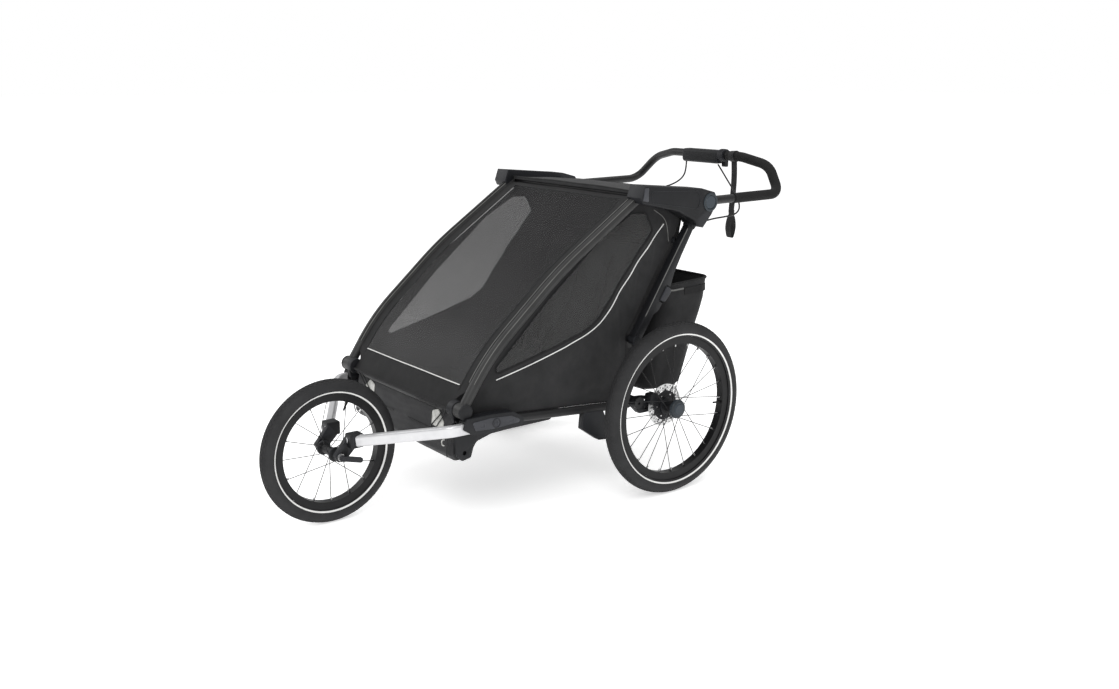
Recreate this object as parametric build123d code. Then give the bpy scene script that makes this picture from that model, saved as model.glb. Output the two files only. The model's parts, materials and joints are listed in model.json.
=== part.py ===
from build123d import *
import math
import os

# Two-seat child bicycle trailer with a jogging front wheel.
# Millimetres. +Z up, the front faces -Y, +X is the trailer's own left side.
# The origin is the centre of the overall footprint, on the ground.

# ---- driving dimensions -------------------------------------------------------------
TRACK = 750.0                # distance between the two rear tyre centres
REAR_RADIUS = 250.0          # rear wheel, over the tyre
REAR_TYRE_RADIUS = 23.5      # radius of the rear tyre's own section
FRONT_RADIUS = 198.0         # front wheel, over the tyre
FRONT_TYRE_RADIUS = 22.0
TYRE_WALL = 4.0
AXLE_Y = 295.0               # rear axle
FRONT_Y = -602.0             # front axle
AXLE_RADIUS = 8.0
RUNNING_GAP = 0.3            # radial clearance of every turning fit
SEAT_GAP = 0.3               # clearance where a piece rests on another

RAIL_X = 284.0               # side rails of the floor frame
RAIL_RADIUS = 12.0
RAIL_FRONT = (-388.0, 302.0)  # (y, z) of the rail's front end
RAIL_REAR = (204.0, 256.0)
TUBE_WALL = 2.5

HINGE = (-375.0, 341.0)      # (y, z) of the front fold hinge
HINGE_PIN_RADIUS = 6.0
PILLAR_X = 299.0             # front pillars, centre of the tube
PILLAR_RADIUS = 14.0
PILLAR_BENDS = [(-290.0, 470.0), (-60.0, 668.0)]   # (y, z) corners of the pillar's bend
PILLAR_BEND_RADII = [600.0, 1100.0]
PILLAR_TOP = (218.0, 851.5)

BRACKET_INNER = 286.0        # |x| of the top bracket's inner face
BRACKET_OUTER = 345.0
BAR_PIVOT = (444.0, 823.0)   # (y, z) of the handlebar pivot
BAR_PIVOT_PIN = 8.0
BAR_X = 317.0                # handlebar side arms
BAR_RADIUS = 12.5
GRIP_RADIUS = 15.0
BAR_EYE_RADIUS = 22.0
BAR_EYE_WIDTH = 30.0
BAR_LOW = (762.0, 826.0)     # (y, z) where the side arm turns up
BAR_HIGH = (250.0, 790.0, 903.0)
BAR_TOP = (152.0, 773.0, 925.0)
BAR_BENDS = [48.0, 80.0, 100.0]

REAR_PIVOT = (409.0, 758.0)  # (y, z) of the rear pillar's upper hinge
REAR_FOOT = (206.0, 446.0)   # (y, z) of the rear pillar's lower end
REAR_PILLAR_X = (288.0, 312.0)
POST_X = 262.0               # lower rear posts, centre of the tube
POST_RADIUS = 13.0
POST_TOP = 452.0

SUSPENSION_PIVOT = (205.0, 268.0)
SUSPENSION_PIN = 9.0
ARM_X = (302.0, 322.0)       # |x| range of the suspension arm's plate
CROSSBAR_RADIUS = 15.0
SEAT_BAR_RADIUS = 12.0
SEAT_Z = SUSPENSION_PIVOT[1] + CROSSBAR_RADIUS + SEAT_GAP   # underside of the seat board

PANEL_X = (277.0, 280.0)     # |x| range of the side fabric
CLOTH = 3.0                  # thickness of the stand-in solids for cloth
TUB_HALF = 262.0             # half width of the footwell and of the basket
TUB_WALL = 4.0
TUB_BACK = -52.5

CONNECTOR_X = (297.0, 327.0)  # |x| range of the front connector housings
JOG_HEIGHT = 30.0            # section of the jogging arms
JOG_WIDTH = 20.0
JOG_HUB = (58.5, -573.5, 234.0)     # arm's end, inside the hub bracket's collar
JOG_NECK = (311.0, -412.0, 297.0)   # where the arm bends, in front of the connector
JOG_BEND = 40.0
JOG_TAIL_Y = -316.0          # the arm's end inside the connector
SOCKET_GAP = 0.5

STRAP_WIDTH = 24.0
CABLE_RADIUS = 2.5
SPOKE_RADIUS = 1.0
BUTTON_TRAVEL = 3.0
TETHER_HOLE_RADIUS = 6.0


# ---- general shapes -----------------------------------------------------------------
def yz_prism(points, x_low, x_high):
    """Outline in the side view, given as (y, z) points, between two x values."""
    face = make_face(Polyline(*points, close=True))
    return extrude(Plane.YZ.offset(x_low) * face, x_high - x_low)


def rod_x(x_low, x_high, centre, radius):
    """Round rod along X about a (y, z) centre."""
    place = Pos(x_low, centre[0], centre[1]) * Rot(0, 90, 0)
    return place * Cylinder(radius, x_high - x_low, align=(Align.CENTER, Align.CENTER, Align.MIN))


def rod(start, end, radius):
    """Round rod between two points."""
    path = Line(start, end)
    return sweep(Plane(origin=start, z_dir=path % 0) * Circle(radius), path=path)


def pipe(points, bends, outer, inner=0.0):
    """Round tube along straight runs joined by arcs."""
    path = FilletPolyline(*points, radius=bends) if len(points) > 2 else Line(*points)
    start = Plane(origin=path @ 0, z_dir=path % 0)
    solid = sweep(start * Circle(outer), path=path)
    if inner:
        solid -= sweep(start * Circle(inner), path=path)
    return solid


def both_sides(shape):
    """The left piece and its mirrored right one, as separate solids."""
    return [shape, mirror(shape, about=Plane.YZ)]


def box(x_range, y_range, z_range):
    size = [high - low for low, high in (x_range, y_range, z_range)]
    middle = [(high + low) / 2 for low, high in (x_range, y_range, z_range)]
    return Pos(*middle) * Box(*size)


def along(start, end, distance, side=0.0):
    """Point at a distance from start towards end, in (y, z), moved sideways to the rear."""
    run = math.dist(start, end)
    step = ((end[0] - start[0]) / run, (end[1] - start[1]) / run)
    return (start[0] + step[0] * distance - step[1] * side,
            start[1] + step[1] * distance + step[0] * side)


def rail_z(y, above=0.0):
    """Height of the side rail's centre line at a given y."""
    slope = (RAIL_REAR[1] - RAIL_FRONT[1]) / (RAIL_REAR[0] - RAIL_FRONT[0])
    return RAIL_FRONT[1] + slope * (y - RAIL_FRONT[0]) + above


def pillar_path(drop=0.0):
    """Corner points of the front pillar's centre line in (y, z), moved inwards by drop."""
    points = [HINGE] + PILLAR_BENDS + [PILLAR_TOP]
    return [(y + 0.62 * drop, z - 0.78 * drop) for y, z in points]


# ---- floor frame --------------------------------------------------------------------
def rail_rod(radius, inner=0.0):
    return pipe([(RAIL_X, *RAIL_FRONT), (RAIL_X, *RAIL_REAR)], None, radius, inner)


def side_rails():
    rail = rail_rod(RAIL_RADIUS, RAIL_RADIUS - TUBE_WALL)
    return both_sides(rail - rod_x(0, 400, SUSPENSION_PIVOT, CROSSBAR_RADIUS + SEAT_GAP))


def crossbars():
    """Front, seat and axle tubes, with the pins that the suspension turns on."""
    inner = RAIL_X - RAIL_RADIUS - SEAT_GAP
    front_radius = 11.0
    front = rod_x(-259.0, 259.0, (HINGE[0] + 5, HINGE[1] - 11), front_radius)
    seat_centre = (TUB_BACK + SEAT_BAR_RADIUS + SEAT_GAP, SEAT_Z - SEAT_BAR_RADIUS - SEAT_GAP)
    seat = rod_x(-inner, inner, seat_centre, SEAT_BAR_RADIUS)
    axle = rod_x(-ARM_X[0] + 0.5, ARM_X[0] - 0.5, SUSPENSION_PIVOT, CROSSBAR_RADIUS)
    bore = SUSPENSION_PIN + RUNNING_GAP
    axle -= rod_x(-400, 400, SUSPENSION_PIVOT, bore)
    front -= rod_x(-400, 400, (HINGE[0] + 5, HINGE[1] - 11), front_radius - TUBE_WALL)
    seat -= rod_x(-400, 400, seat_centre, SEAT_BAR_RADIUS - TUBE_WALL)
    pin = rod_x(RAIL_X - 50, ARM_X[1] + 1, SUSPENSION_PIVOT, SUSPENSION_PIN)
    pin += rod_x(ARM_X[1] + 1, ARM_X[1] + 8, SUSPENSION_PIVOT, SUSPENSION_PIN + 8)
    pin -= rod_x(ARM_X[1] + 4, ARM_X[1] + 9, SUSPENSION_PIVOT, 5.0)
    return [front, seat, axle] + both_sides(pin)


def corner_joints():
    """Front corner castings with the fold hinge's pins and outer caps."""
    inner, outer = 259.5, PILLAR_X - PILLAR_RADIUS - 1
    block = rod_x(inner, outer, HINGE, 22.0)
    block += yz_prism([(HINGE[0] - 18, HINGE[1] - 12), (HINGE[0] + 22, HINGE[1]),
                       (HINGE[0] + 60, rail_z(HINGE[0] + 60, 8)),
                       (HINGE[0] - 13, rail_z(HINGE[0] - 13, 4))], 272.0, outer)
    block -= rail_rod(RAIL_RADIUS + SEAT_GAP)
    cap_face = PILLAR_X + PILLAR_RADIUS + 1
    block += rod_x(outer - 1, cap_face + 1, HINGE, HINGE_PIN_RADIUS)
    cap = rod_x(cap_face, cap_face + 5, HINGE, 21.0)
    block += chamfer(cap.edges().group_by(Axis.X)[-1], 2.0)
    return both_sides(block)


def connector_outline(grow=0.0):
    low_y, high_y = -388.0 - grow, -200.0 + grow
    return [(low_y, 299.0), (low_y + 10, 326.0 + grow), (-302.0, 326.0 + grow),
            (-232.0, 321.0 + grow), (high_y, 301.0), (high_y, 281.0 - grow),
            (-302.0, 279.0 - grow), (low_y + 28, 281.0 - grow)]


def connectors():
    """Front connector housings, hollow for the jogging arm's end."""
    housing = yz_prism(connector_outline(), *CONNECTOR_X)
    housing = fillet(housing.edges().filter_by(Axis.X), 4.0)
    x, neck_y, z = JOG_NECK
    half_w, half_h = JOG_WIDTH / 2 + SOCKET_GAP, JOG_HEIGHT / 2 + SOCKET_GAP
    depth_end = JOG_TAIL_Y + SOCKET_GAP
    housing -= box((x - half_w, x + half_w), (neck_y, depth_end), (z - half_h, z + half_h))
    housing -= rail_rod(RAIL_RADIUS + SEAT_GAP)
    housing -= rod_x(0, PILLAR_X + PILLAR_RADIUS + 6.5, HINGE, 23.0)
    recess = CONNECTOR_BUTTON_FACE - CONNECTOR_BUTTON_DEPTH - BUTTON_TRAVEL - SOCKET_GAP
    housing -= rod_x(recess, 400, CONNECTOR_BUTTON, CONNECTOR_BUTTON_RADIUS + RUNNING_GAP)
    return both_sides(housing)


CONNECTOR_BUTTON = (-288.0, 301.0)   # (y, z) of the release button
CONNECTOR_BUTTON_RADIUS = 10.0
CONNECTOR_BUTTON_DEPTH = 7.0
CONNECTOR_BUTTON_FACE = CONNECTOR_X[1] + 1.5


def connector_button():
    face = CONNECTOR_BUTTON_FACE
    button = rod_x(face - CONNECTOR_BUTTON_DEPTH, face, CONNECTOR_BUTTON, CONNECTOR_BUTTON_RADIUS)
    return chamfer(button.edges().group_by(Axis.X)[-1], 1.0)


def floor_brackets():
    """Tether plates under the connectors and the feet under the rails."""
    plate_x = (TUB_HALF + SEAT_GAP, RAIL_X - RAIL_RADIUS - SEAT_GAP)
    plate = yz_prism([(-378.0, 300.0), (-376.0, 214.0), (-358.0, 195.0), (-330.0, 200.0),
                      (-318.0, 240.0), (-268.0, 262.0), (-268.0, 290.0)], *plate_x)
    plate = fillet(plate.edges().filter_by(Axis.X), 8.0)
    plate -= rod_x(0, 400, TETHER_HOLE, TETHER_HOLE_RADIUS)
    foot_x = (RAIL_X - 10, RAIL_X + 10)
    foot = yz_prism([(34.0, rail_z(34, 6)), (28.0, 214.0), (88.0, 172.0), (128.0, 168.0),
                     (128.0, 198.0), (96.0, rail_z(96, 6))], *foot_x)
    foot = fillet(foot.edges().filter_by(Axis.X), 5.0)
    foot -= rail_rod(RAIL_RADIUS + SEAT_GAP)
    return both_sides(plate) + both_sides(foot)


TETHER_HOLE = (-350.0, 216.0)


def rear_posts():
    """Lower rear posts that the folding rear pillars lock against."""
    foot_z = SUSPENSION_PIVOT[1] + CROSSBAR_RADIUS - 2
    y = SUSPENSION_PIVOT[0]
    post = rod((POST_X, y, foot_z), (POST_X, y, POST_TOP), POST_RADIUS)
    post -= rod((POST_X, y, foot_z - 5), (POST_X, y, POST_TOP - 6), POST_RADIUS - TUBE_WALL)
    post += box((POST_X - 12, POST_X + POST_RADIUS), (y - 16, y + 16), (POST_TOP - 34, POST_TOP))
    post += box((POST_X - 14, POST_X + 10), (y - 17, y + 17), (foot_z, foot_z + 14))
    post -= rod_x(0, 400, SUSPENSION_PIVOT, CROSSBAR_RADIUS + SEAT_GAP)
    return both_sides(post)


# ---- cabin --------------------------------------------------------------------------
def floor_tub():
    outer = [(-368.0, 318.5), (-386.0, 212.0), (-372.0, 194.0), (-336.0, 194.0),
             (-310.0, 234.0), (-262.0, 246.0), (TUB_BACK, 250.0), (TUB_BACK, SEAT_Z - SEAT_GAP),
             (TUB_BACK - 14, SEAT_Z - SEAT_GAP)]
    inner = [(-363.0, 330.0), (-381.5, 212.5), (-370.0, 198.0), (-338.0, 198.0),
             (-313.0, 237.0), (-262.0, 250.0), (TUB_BACK - TUB_WALL, 254.0),
             (TUB_BACK - TUB_WALL, 330.0)]
    tub = yz_prism(outer, -TUB_HALF, TUB_HALF)
    return tub - yz_prism(inner, -TUB_HALF + TUB_WALL, TUB_HALF - TUB_WALL)


def seat_base():
    base = box((-240.0, 240.0), (-60.0, 222.0), (SEAT_Z, SEAT_Z + 6))
    return fillet(base.edges().filter_by(Axis.Z), 20.0)


def seat_pad():
    low = SEAT_Z + 6 + SEAT_GAP
    pad = box((-238.0, 238.0), (-62.0, 180.0), (low, low + 42))
    return fillet(pad.edges(), 14.0)


BACKREST_Z = SEAT_Z + 6.0 + SEAT_GAP
BACKREST = [(183.0, BACKREST_Z), (221.0, BACKREST_Z), (356.0, 690.0), (328.0, 700.0)]


def backrest():
    pad = yz_prism(BACKREST, -236.0, 236.0)
    return fillet(pad.edges(), 9.0)


def harness():
    """Shoulder and crotch webbing of the two seats, with their buckles."""
    straps = []
    lean = (BACKREST[3][0] - BACKREST[0][0], BACKREST[3][1] - BACKREST[0][1])
    angle = math.degrees(math.atan2(lean[0], lean[1]))
    for seat_x in (-118.0, 118.0):
        for side in (-52.0, 52.0):
            middle_y = BACKREST[0][0] + lean[0] * 0.55
            middle_z = BACKREST[0][1] + lean[1] * 0.55
            strap = Pos(seat_x + side, middle_y - 1.8, middle_z) * Rot(-angle, 0, 0)
            straps.append(strap * Box(STRAP_WIDTH, 2.0, 290.0))
        top = SEAT_Z + 48 + 2 * SEAT_GAP
        straps.append(box((seat_x - 12, seat_x + 12), (20.0, 120.0), (top, top + 2)))
        straps.append(fillet(box((seat_x - 20, seat_x + 20), (-14.0, 19.5), (top, top + 12))
                             .edges(), 3.0))
    return straps


PANEL = [(-338.0, 385.0), (-272.0, 466.0), (-50.0, 657.0), (212.0, 829.0), (388.0, 820.0),
         (386.0, 760.0), (280.0, 598.0), (222.0, 500.0), (192.0, 462.0), (192.0, 292.0)]
WINDOW = [(-262.0, 428.0), (-86.0, 594.0), (101.0, 747.0), (204.0, 802.0), (256.0, 801.0),
          (284.0, 750.0), (186.0, 640.0), (91.0, 520.0), (45.0, 492.0), (-68.0, 460.0),
          (-250.0, 416.0)]


def side_panel(window=False):
    if window:
        return fillet(yz_prism(WINDOW, *PANEL_X).edges().filter_by(Axis.X), 6.0)
    edge = RAIL_RADIUS + SEAT_GAP
    outline = PANEL + [(184.0, rail_z(184, edge) + 2), (150.0, rail_z(150, edge)),
                       (-318.0, rail_z(-318, edge + 2)), (-342.0, 345.0)]
    return yz_prism(outline, *PANEL_X) - side_panel(window=True)


def pillar_curve(offset):
    """Front pillar's centre line in the side view, moved outwards by offset."""
    return FilletPolyline(*pillar_path(-offset), radius=PILLAR_BEND_RADII)


def strip_along_pillars(half_width, low, high, start, end):
    """Sheet between the pillars that follows their curve."""
    inner = pillar_curve(low)
    outer = pillar_curve(high)
    side = [Edge.make_line(inner @ 0, outer @ 0), Edge.make_line(inner @ 1, outer @ 1)]
    face = make_face([*inner.edges(), side[0], *outer.edges(), side[1]])
    sheet = extrude(Plane.YZ.offset(-half_width) * face, 2 * half_width)
    return sheet & box((-400, 400), start, end)


def front_cover():
    return strip_along_pillars(PILLAR_X - PILLAR_RADIUS - SEAT_GAP, 2.0, 2.0 + CLOTH, (-350.0, 213.0), (386.0, 857.0))


def roof_panel():
    low = [(213.5, 859.8), (412.0, 845.2)]
    return yz_prism(low + [(y, z + CLOTH) for y, z in reversed(low)], -285.5, 285.5)


BACK_TOP = (418.5, 840.0)
BACK_LOW = (347.0, 567.0)


def back_panel():
    low, top = BACK_LOW, BACK_TOP
    return yz_prism([low, top, (top[0] + CLOTH, top[1]), (low[0] + CLOTH, low[1])],
                    -274.0, 274.0)


def basket():
    """Cargo basket behind the cabin, with its elastic rim."""
    front_low, rear_low, floor_z = 296.0, 450.0, 271.0
    rim_z = BACK_LOW[1] - SEAT_GAP
    outer = [(BACK_LOW[0], rim_z), (front_low, floor_z), (rear_low, floor_z), (486.0, 381.0),
             (507.0, 448.0), (530.0, 519.0), (536.0, rim_z)]
    inner = [(BACK_LOW[0] + TUB_WALL + 1, rim_z + 9), (front_low + TUB_WALL + 1, floor_z + TUB_WALL),
             (rear_low - 3, floor_z + TUB_WALL), (481.5, 382.0), (502.5, 449.0), (525.5, 520.0),
             (531.5, rim_z + 9)]
    shell = yz_prism(outer, -TUB_HALF, TUB_HALF)
    shell -= yz_prism(inner, -TUB_HALF + TUB_WALL, TUB_HALF - TUB_WALL)
    back = 536.0 + SEAT_GAP
    rim = box((-TUB_HALF, TUB_HALF), (back, back + 6), (rim_z - 14, rim_z + 2))
    return [shell, rim]


# ---- rear suspension and wheels -----------------------------------------------------
AXLE_CENTRE = (AXLE_Y, REAR_RADIUS)
DISC_RADIUS = 62.0
DISC_X = TRACK / 2 - 36.0
DISC_THICKNESS = 2.0


def suspension_arm():
    pivot, axle = SUSPENSION_PIVOT, AXLE_CENTRE
    plate = yz_prism([(pivot[0] - 4, pivot[1] + 15.5), (pivot[0] + 28, pivot[1] + 13),
                      (axle[0] + 4, axle[1] + 17), (axle[0] + 4, axle[1] - 17),
                      (pivot[0] + 10, pivot[1] - 34), (pivot[0] - 12, pivot[1] - 12)], *ARM_X)
    plate += rod_x(*ARM_X, pivot, SUSPENSION_PIN + 7)
    plate += rod_x(*ARM_X, axle, 18.0)
    for corner in (10.0, -16.0):
        window = [(pivot[0] + 26, pivot[1] + corner - 8), (pivot[0] + 27, pivot[1] + corner - 1),
                  (pivot[0] + 60, axle[1] + corner / 2 + 1)]
        plate -= yz_prism(window, *ARM_X)
    plate -= rod_x(*ARM_X, pivot, SUSPENSION_PIN + RUNNING_GAP)
    plate += rod_x(ARM_X[1] - 1, TRACK / 2 + 13.5, axle, AXLE_RADIUS)
    return plate


def brake_caliper():
    reach = DISC_RADIUS - 9.0
    y = AXLE_Y - reach * math.cos(math.radians(28))
    z = REAR_RADIUS + reach * math.sin(math.radians(28))
    body = box((ARM_X[1] + SEAT_GAP, DISC_X + 7.5), (y - 15, y + 15), (z - 13, z + 17))
    body = fillet(body.edges().filter_by(Axis.X), 5.0)
    slot = DISC_THICKNESS / 2 + 1.0
    return body - rod_x(DISC_X - slot, DISC_X + slot, AXLE_CENTRE, DISC_RADIUS + 1.5)


def turned(profile):
    """Solid of revolution about X from (x, radius) points."""
    return revolve(make_face(Polyline(*profile, close=True)), Axis.X)


def tyre(radius, section):
    """Hollow tyre, open at its beads."""
    centre = radius - section
    ring = Circle(section) - Circle(section - TYRE_WALL)
    bead = Rectangle(4 * section, 2 * section)
    profile = ring - Pos(0, -(section - 6) - section) * bead
    return revolve(Pos(0, centre) * profile, Axis.X)


def rim(radius, section, depth=20.5):
    top = radius - section - (section - 6) - SEAT_GAP
    base = top - depth
    return turned([(-12, base), (12, base), (13, top), (9, top), (8, base + 8), (-8, base + 8),
                   (-9, top), (-13, top)])


def spokes(count, rim_base, flanges, flange_radius):
    """Crossed spokes from two hub flanges to the rim."""
    wires = []
    for index in range(count):
        flange_x = flanges[index % 2]
        angle = 2 * math.pi * index / count
        twist = math.radians(52) * (1 if index % 4 < 2 else -1)
        near = flange_radius + 3 * RUNNING_GAP
        start = (flange_x, near * math.cos(angle + twist), near * math.sin(angle + twist))
        far = rim_base - RUNNING_GAP
        end = (math.copysign(4.0, flange_x), far * math.cos(angle), far * math.sin(angle))
        wires.append(rod(start, end, SPOKE_RADIUS))
    return wires


REAR_FLANGES = (-25.0, 10.0)
FLANGE_RADIUS = 25.0


def rear_hub():
    """Rear hub shell with its outer cap."""
    bore = AXLE_RADIUS + RUNNING_GAP
    face = DISC_X + DISC_THICKNESS / 2 - TRACK / 2
    hub = turned([(face, bore), (face, 22), (-29, 22), (-29, 18), (-27, FLANGE_RADIUS),
                  (-23, FLANGE_RADIUS), (-21, 16), (6, 16), (8, FLANGE_RADIUS),
                  (12, FLANGE_RADIUS), (12, bore)])
    cap = turned([(12.3, bore), (12.3, 26), (20, 26), (24, 22.5), (24, 17.3), (15.5, 17.3),
                  (15.5, bore)])
    return [hub, cap]


def hub_button():
    return turned([(19.0, 0), (19.0, 17), (25.0, 17), (26.5, 14.5), (26.5, 0)])


def brake_disc():
    x_low = -DISC_THICKNESS / 2
    disc = rod_x(x_low, -x_low, (0, 0), DISC_RADIUS)
    disc -= rod_x(-5, 5, (0, 0), AXLE_RADIUS + RUNNING_GAP)
    for index in range(6):
        angle = index * 60.0
        window = SlotArc(CenterArc((0, 0), 35.0, angle - 11, 22), 19.0)
        disc -= extrude(Plane.YZ.offset(-5) * window, 10)
    for index in range(24):
        angle = math.radians(index * 15)
        reach = 51.0 if index % 2 else 56.0
        disc -= rod_x(-5, 5, (reach * math.cos(angle), reach * math.sin(angle)), 2.2)
    return disc


def front_hub():
    bore = QR_RADIUS + RUNNING_GAP
    return turned([(-46, bore), (-46, 12), (-38, 14), (-36, 20), (-32, 20), (-30, 12), (30, 12),
                   (32, 20), (36, 20), (38, 14), (46, 12), (46, bore)])


# ---- jogging fork -------------------------------------------------------------------
QR_RADIUS = 4.5
FRONT_CENTRE = (FRONT_Y, FRONT_RADIUS)


def jog_arms():
    """Box-section arms from the connectors to the front hub."""
    section = RectangleRounded(JOG_WIDTH, JOG_HEIGHT, 6.0)
    tail = (JOG_NECK[0], JOG_TAIL_Y, JOG_NECK[2])
    path = FilletPolyline(tail, JOG_NECK, JOG_HUB, radius=JOG_BEND)
    start = Plane(origin=path @ 0, x_dir=(-1, 0, 0), z_dir=path % 0)
    return both_sides(sweep(start * section, path=path))


def hub_brackets():
    """Clamps that join the arms' ends to the front axle."""
    x_low, x_high = 49.0, 64.0
    y, z = JOG_HUB[1], JOG_HUB[2]
    plate = yz_prism([(FRONT_Y - 15, FRONT_RADIUS + 4), (FRONT_Y - 8, FRONT_RADIUS - 13),
                      (FRONT_Y + 12, FRONT_RADIUS - 14), (y + 20, z - 14), (y + 22, z + 12),
                      (y - 6, z + 15)], x_low, x_high)
    plate = fillet(plate.edges().filter_by(Axis.X), 4.0)
    collar = box((x_low, x_high + 22), (y - 8, y + 32), (z - 14, z + 24))
    plate += fillet(collar.edges(), 5.0)
    plate -= rod_x(0, 400, FRONT_CENTRE, QR_RADIUS + RUNNING_GAP)
    plate -= jog_arms()[0]
    return both_sides(plate)


def front_axle():
    """Quick-release skewer with its nut."""
    axle = rod_x(-66.0, 70.0, FRONT_CENTRE, QR_RADIUS)
    axle += rod_x(-74.0, -64.6, FRONT_CENTRE, 11.0)
    axle += rod_x(64.6, 70.0, FRONT_CENTRE, 10.0)
    return axle


QR_LEVER_LENGTH = 58.0
QR_LEVER_X = 78.0            # the lever's hinge, outside the nut
QR_EYE_RADIUS = 7.7


def quick_release_lever():
    """Cam lever: a round eye beside the nut, with its arm lying along the wheel."""
    x = QR_LEVER_X
    lever = box((x - 3.5, x + 3.5), (0.0, QR_LEVER_LENGTH), (-7.0, 7.0))
    lever = fillet(lever.edges().filter_by(Axis.X).group_by(Axis.Y)[-1], 6.0)
    lever += Pos(x, 0, 0) * Cylinder(QR_EYE_RADIUS, 14.0)
    return Pos(0, FRONT_Y, FRONT_RADIUS) * Rot(-15, 0, 0) * lever


# ---- folding upper frame ------------------------------------------------------------
def front_pillars():
    points = [(PILLAR_X, y, z) for y, z in pillar_path()]
    tube = pipe(points, PILLAR_BEND_RADII, PILLAR_RADIUS, PILLAR_RADIUS - TUBE_WALL)
    x_low, x_high = PILLAR_X - PILLAR_RADIUS, PILLAR_X + PILLAR_RADIUS
    tube += rod_x(x_low, x_high, HINGE, 20.0)
    tube -= rod_x(0, 400, HINGE, HINGE_PIN_RADIUS + RUNNING_GAP)
    return both_sides(tube)


ROOF_BOWS = [((232.0, 848.0), 10.0), ((408.0, 836.0), 9.0)]


def roof_bows():
    reach = BRACKET_INNER - SEAT_GAP
    bows = []
    for centre, radius in ROOF_BOWS:
        bow = rod_x(-reach, reach, centre, radius)
        bows.append(bow - rod_x(-reach, reach, centre, radius - 2.0))
    return bows


BRACKET = [(180.0, 850.0), (192.0, 884.0), (282.0, 877.0), (410.0, 864.0), (462.0, 850.0),
           (476.0, 828.0), (454.0, 789.0), (420.0, 752.0), (398.0, 758.0), (385.0, 775.0),
           (365.0, 785.0), (323.0, 805.0), (259.0, 818.0), (188.0, 834.0)]


def top_bracket():
    """Side bracket: holds the pillar, the roof bows, the handlebar and the rear pillar."""
    body = yz_prism(BRACKET, BRACKET_INNER, BRACKET_OUTER)
    body = chamfer(body.edges().group_by(Axis.X)[-1], 3.0)
    points = [(PILLAR_X, y, z) for y, z in pillar_path()]
    body -= pipe(points, PILLAR_BEND_RADII, PILLAR_RADIUS + SEAT_GAP)
    slot = (BAR_X - BAR_EYE_WIDTH / 2 - 0.6, BAR_X + BAR_EYE_WIDTH / 2 + 0.6)
    body -= rod_x(*slot, BAR_PIVOT, BAR_EYE_RADIUS + 1.5)
    body -= box(slot, (BAR_PIVOT[0], 600.0), (740.0, 900.0))
    body += rod_x(slot[0] - 2, slot[1] + 2, BAR_PIVOT, BAR_PIVOT_PIN)
    eye_space = (BRACKET_INNER - 1, REAR_PILLAR_X[1] + 1)
    body -= rod_x(*eye_space, REAR_PIVOT, REAR_EYE_RADIUS + 2)
    body += rod_x(REAR_PILLAR_X[0] - 1, eye_space[1] + 1, REAR_PIVOT, HINGE_PIN_RADIUS)
    body += rod_x(REAR_PILLAR_X[0] - 3, REAR_PILLAR_X[0] - 0.8, REAR_PIVOT, 10.0)
    body -= rod_x(ADJUST_FACE - 1.8 - 2 * BUTTON_TRAVEL, 400, BAR_PIVOT, ADJUST_RADIUS + 0.4)
    return body


REAR_EYE_RADIUS = 15.0
ADJUST_RADIUS = 19.0
ADJUST_FACE = BRACKET_OUTER + 2.0


def adjust_button():
    button = rod_x(ADJUST_FACE - 1 - BUTTON_TRAVEL, ADJUST_FACE, BAR_PIVOT, ADJUST_RADIUS)
    return chamfer(button.edges().group_by(Axis.X)[-1], 1.5)


def rear_pillars():
    """Rear struts with their flared latch housings, and the tube between them."""
    top, foot = REAR_PIVOT, REAR_FOOT
    length = math.dist(top, foot)
    rear = [(6, 10), (90, 13), (150, 18), (185, 27), (262, 26), (282, 15), (length, 13)]
    front = [(length, -12), (285, -13), (60, -12), (6, -11)]
    outline = [along(top, foot, run, side) for run, side in rear + front]
    strut = yz_prism(outline, *REAR_PILLAR_X)
    strut += rod_x(*REAR_PILLAR_X, top, REAR_EYE_RADIUS)
    strut += rod_x(*REAR_PILLAR_X, foot, 13.0)
    strut += rod_x(POST_X + POST_RADIUS + 0.5, REAR_PILLAR_X[0] + 1, foot, 10.0)
    strut -= rod_x(0, 400, top, HINGE_PIN_RADIUS + RUNNING_GAP)
    pocket = [along(top, foot, run, side)
              for run, side in [(188, 12), (188, 32), (240, 32), (240, 12)]]
    strut -= yz_prism(pocket, REAR_PILLAR_X[0] + 4, REAR_PILLAR_X[1] + 5)
    spread = REAR_PILLAR_X[0] - SEAT_GAP
    tie = rod_x(-spread, spread, REAR_TIE, 9.0) - rod_x(-spread, spread, REAR_TIE, 7.0)
    return both_sides(strut) + [tie]


REAR_TIE = (371.0, 713.0)
LATCH_RUN = 228.0            # distance of the latch's pivot below the rear pillar's hinge


def latch_lever():
    top, foot = REAR_PIVOT, REAR_FOOT
    corners = [(192, 13.5), (192, 29), (200, 34), (232, 30), (236, 20), (236, 13.5)]
    outline = [along(top, foot, run, side) for run, side in corners]
    lever = yz_prism(outline, REAR_PILLAR_X[0] + 4 + SEAT_GAP, REAR_PILLAR_X[1] + 6)
    return chamfer(lever.edges().group_by(Axis.X)[-1], 1.5)


# ---- handlebar ----------------------------------------------------------------------
def bar_points():
    left = [(BAR_X, BAR_PIVOT[0] + 12, BAR_PIVOT[1]), (BAR_X, *BAR_LOW), BAR_HIGH, BAR_TOP]
    return left + [(-x, y, z) for x, y, z in reversed(left)]


def handlebar_tube():
    bar = pipe(bar_points(), BAR_BENDS + BAR_BENDS[::-1], BAR_RADIUS, BAR_RADIUS - TUBE_WALL)
    for side in (-1, 1):
        x = side * BAR_X
        eye = (x - BAR_EYE_WIDTH / 2, x + BAR_EYE_WIDTH / 2)
        bar += rod_x(*eye, BAR_PIVOT, BAR_EYE_RADIUS)
    bar -= rod_x(-400, 400, BAR_PIVOT, BAR_PIVOT_PIN + RUNNING_GAP)
    return bar


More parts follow.
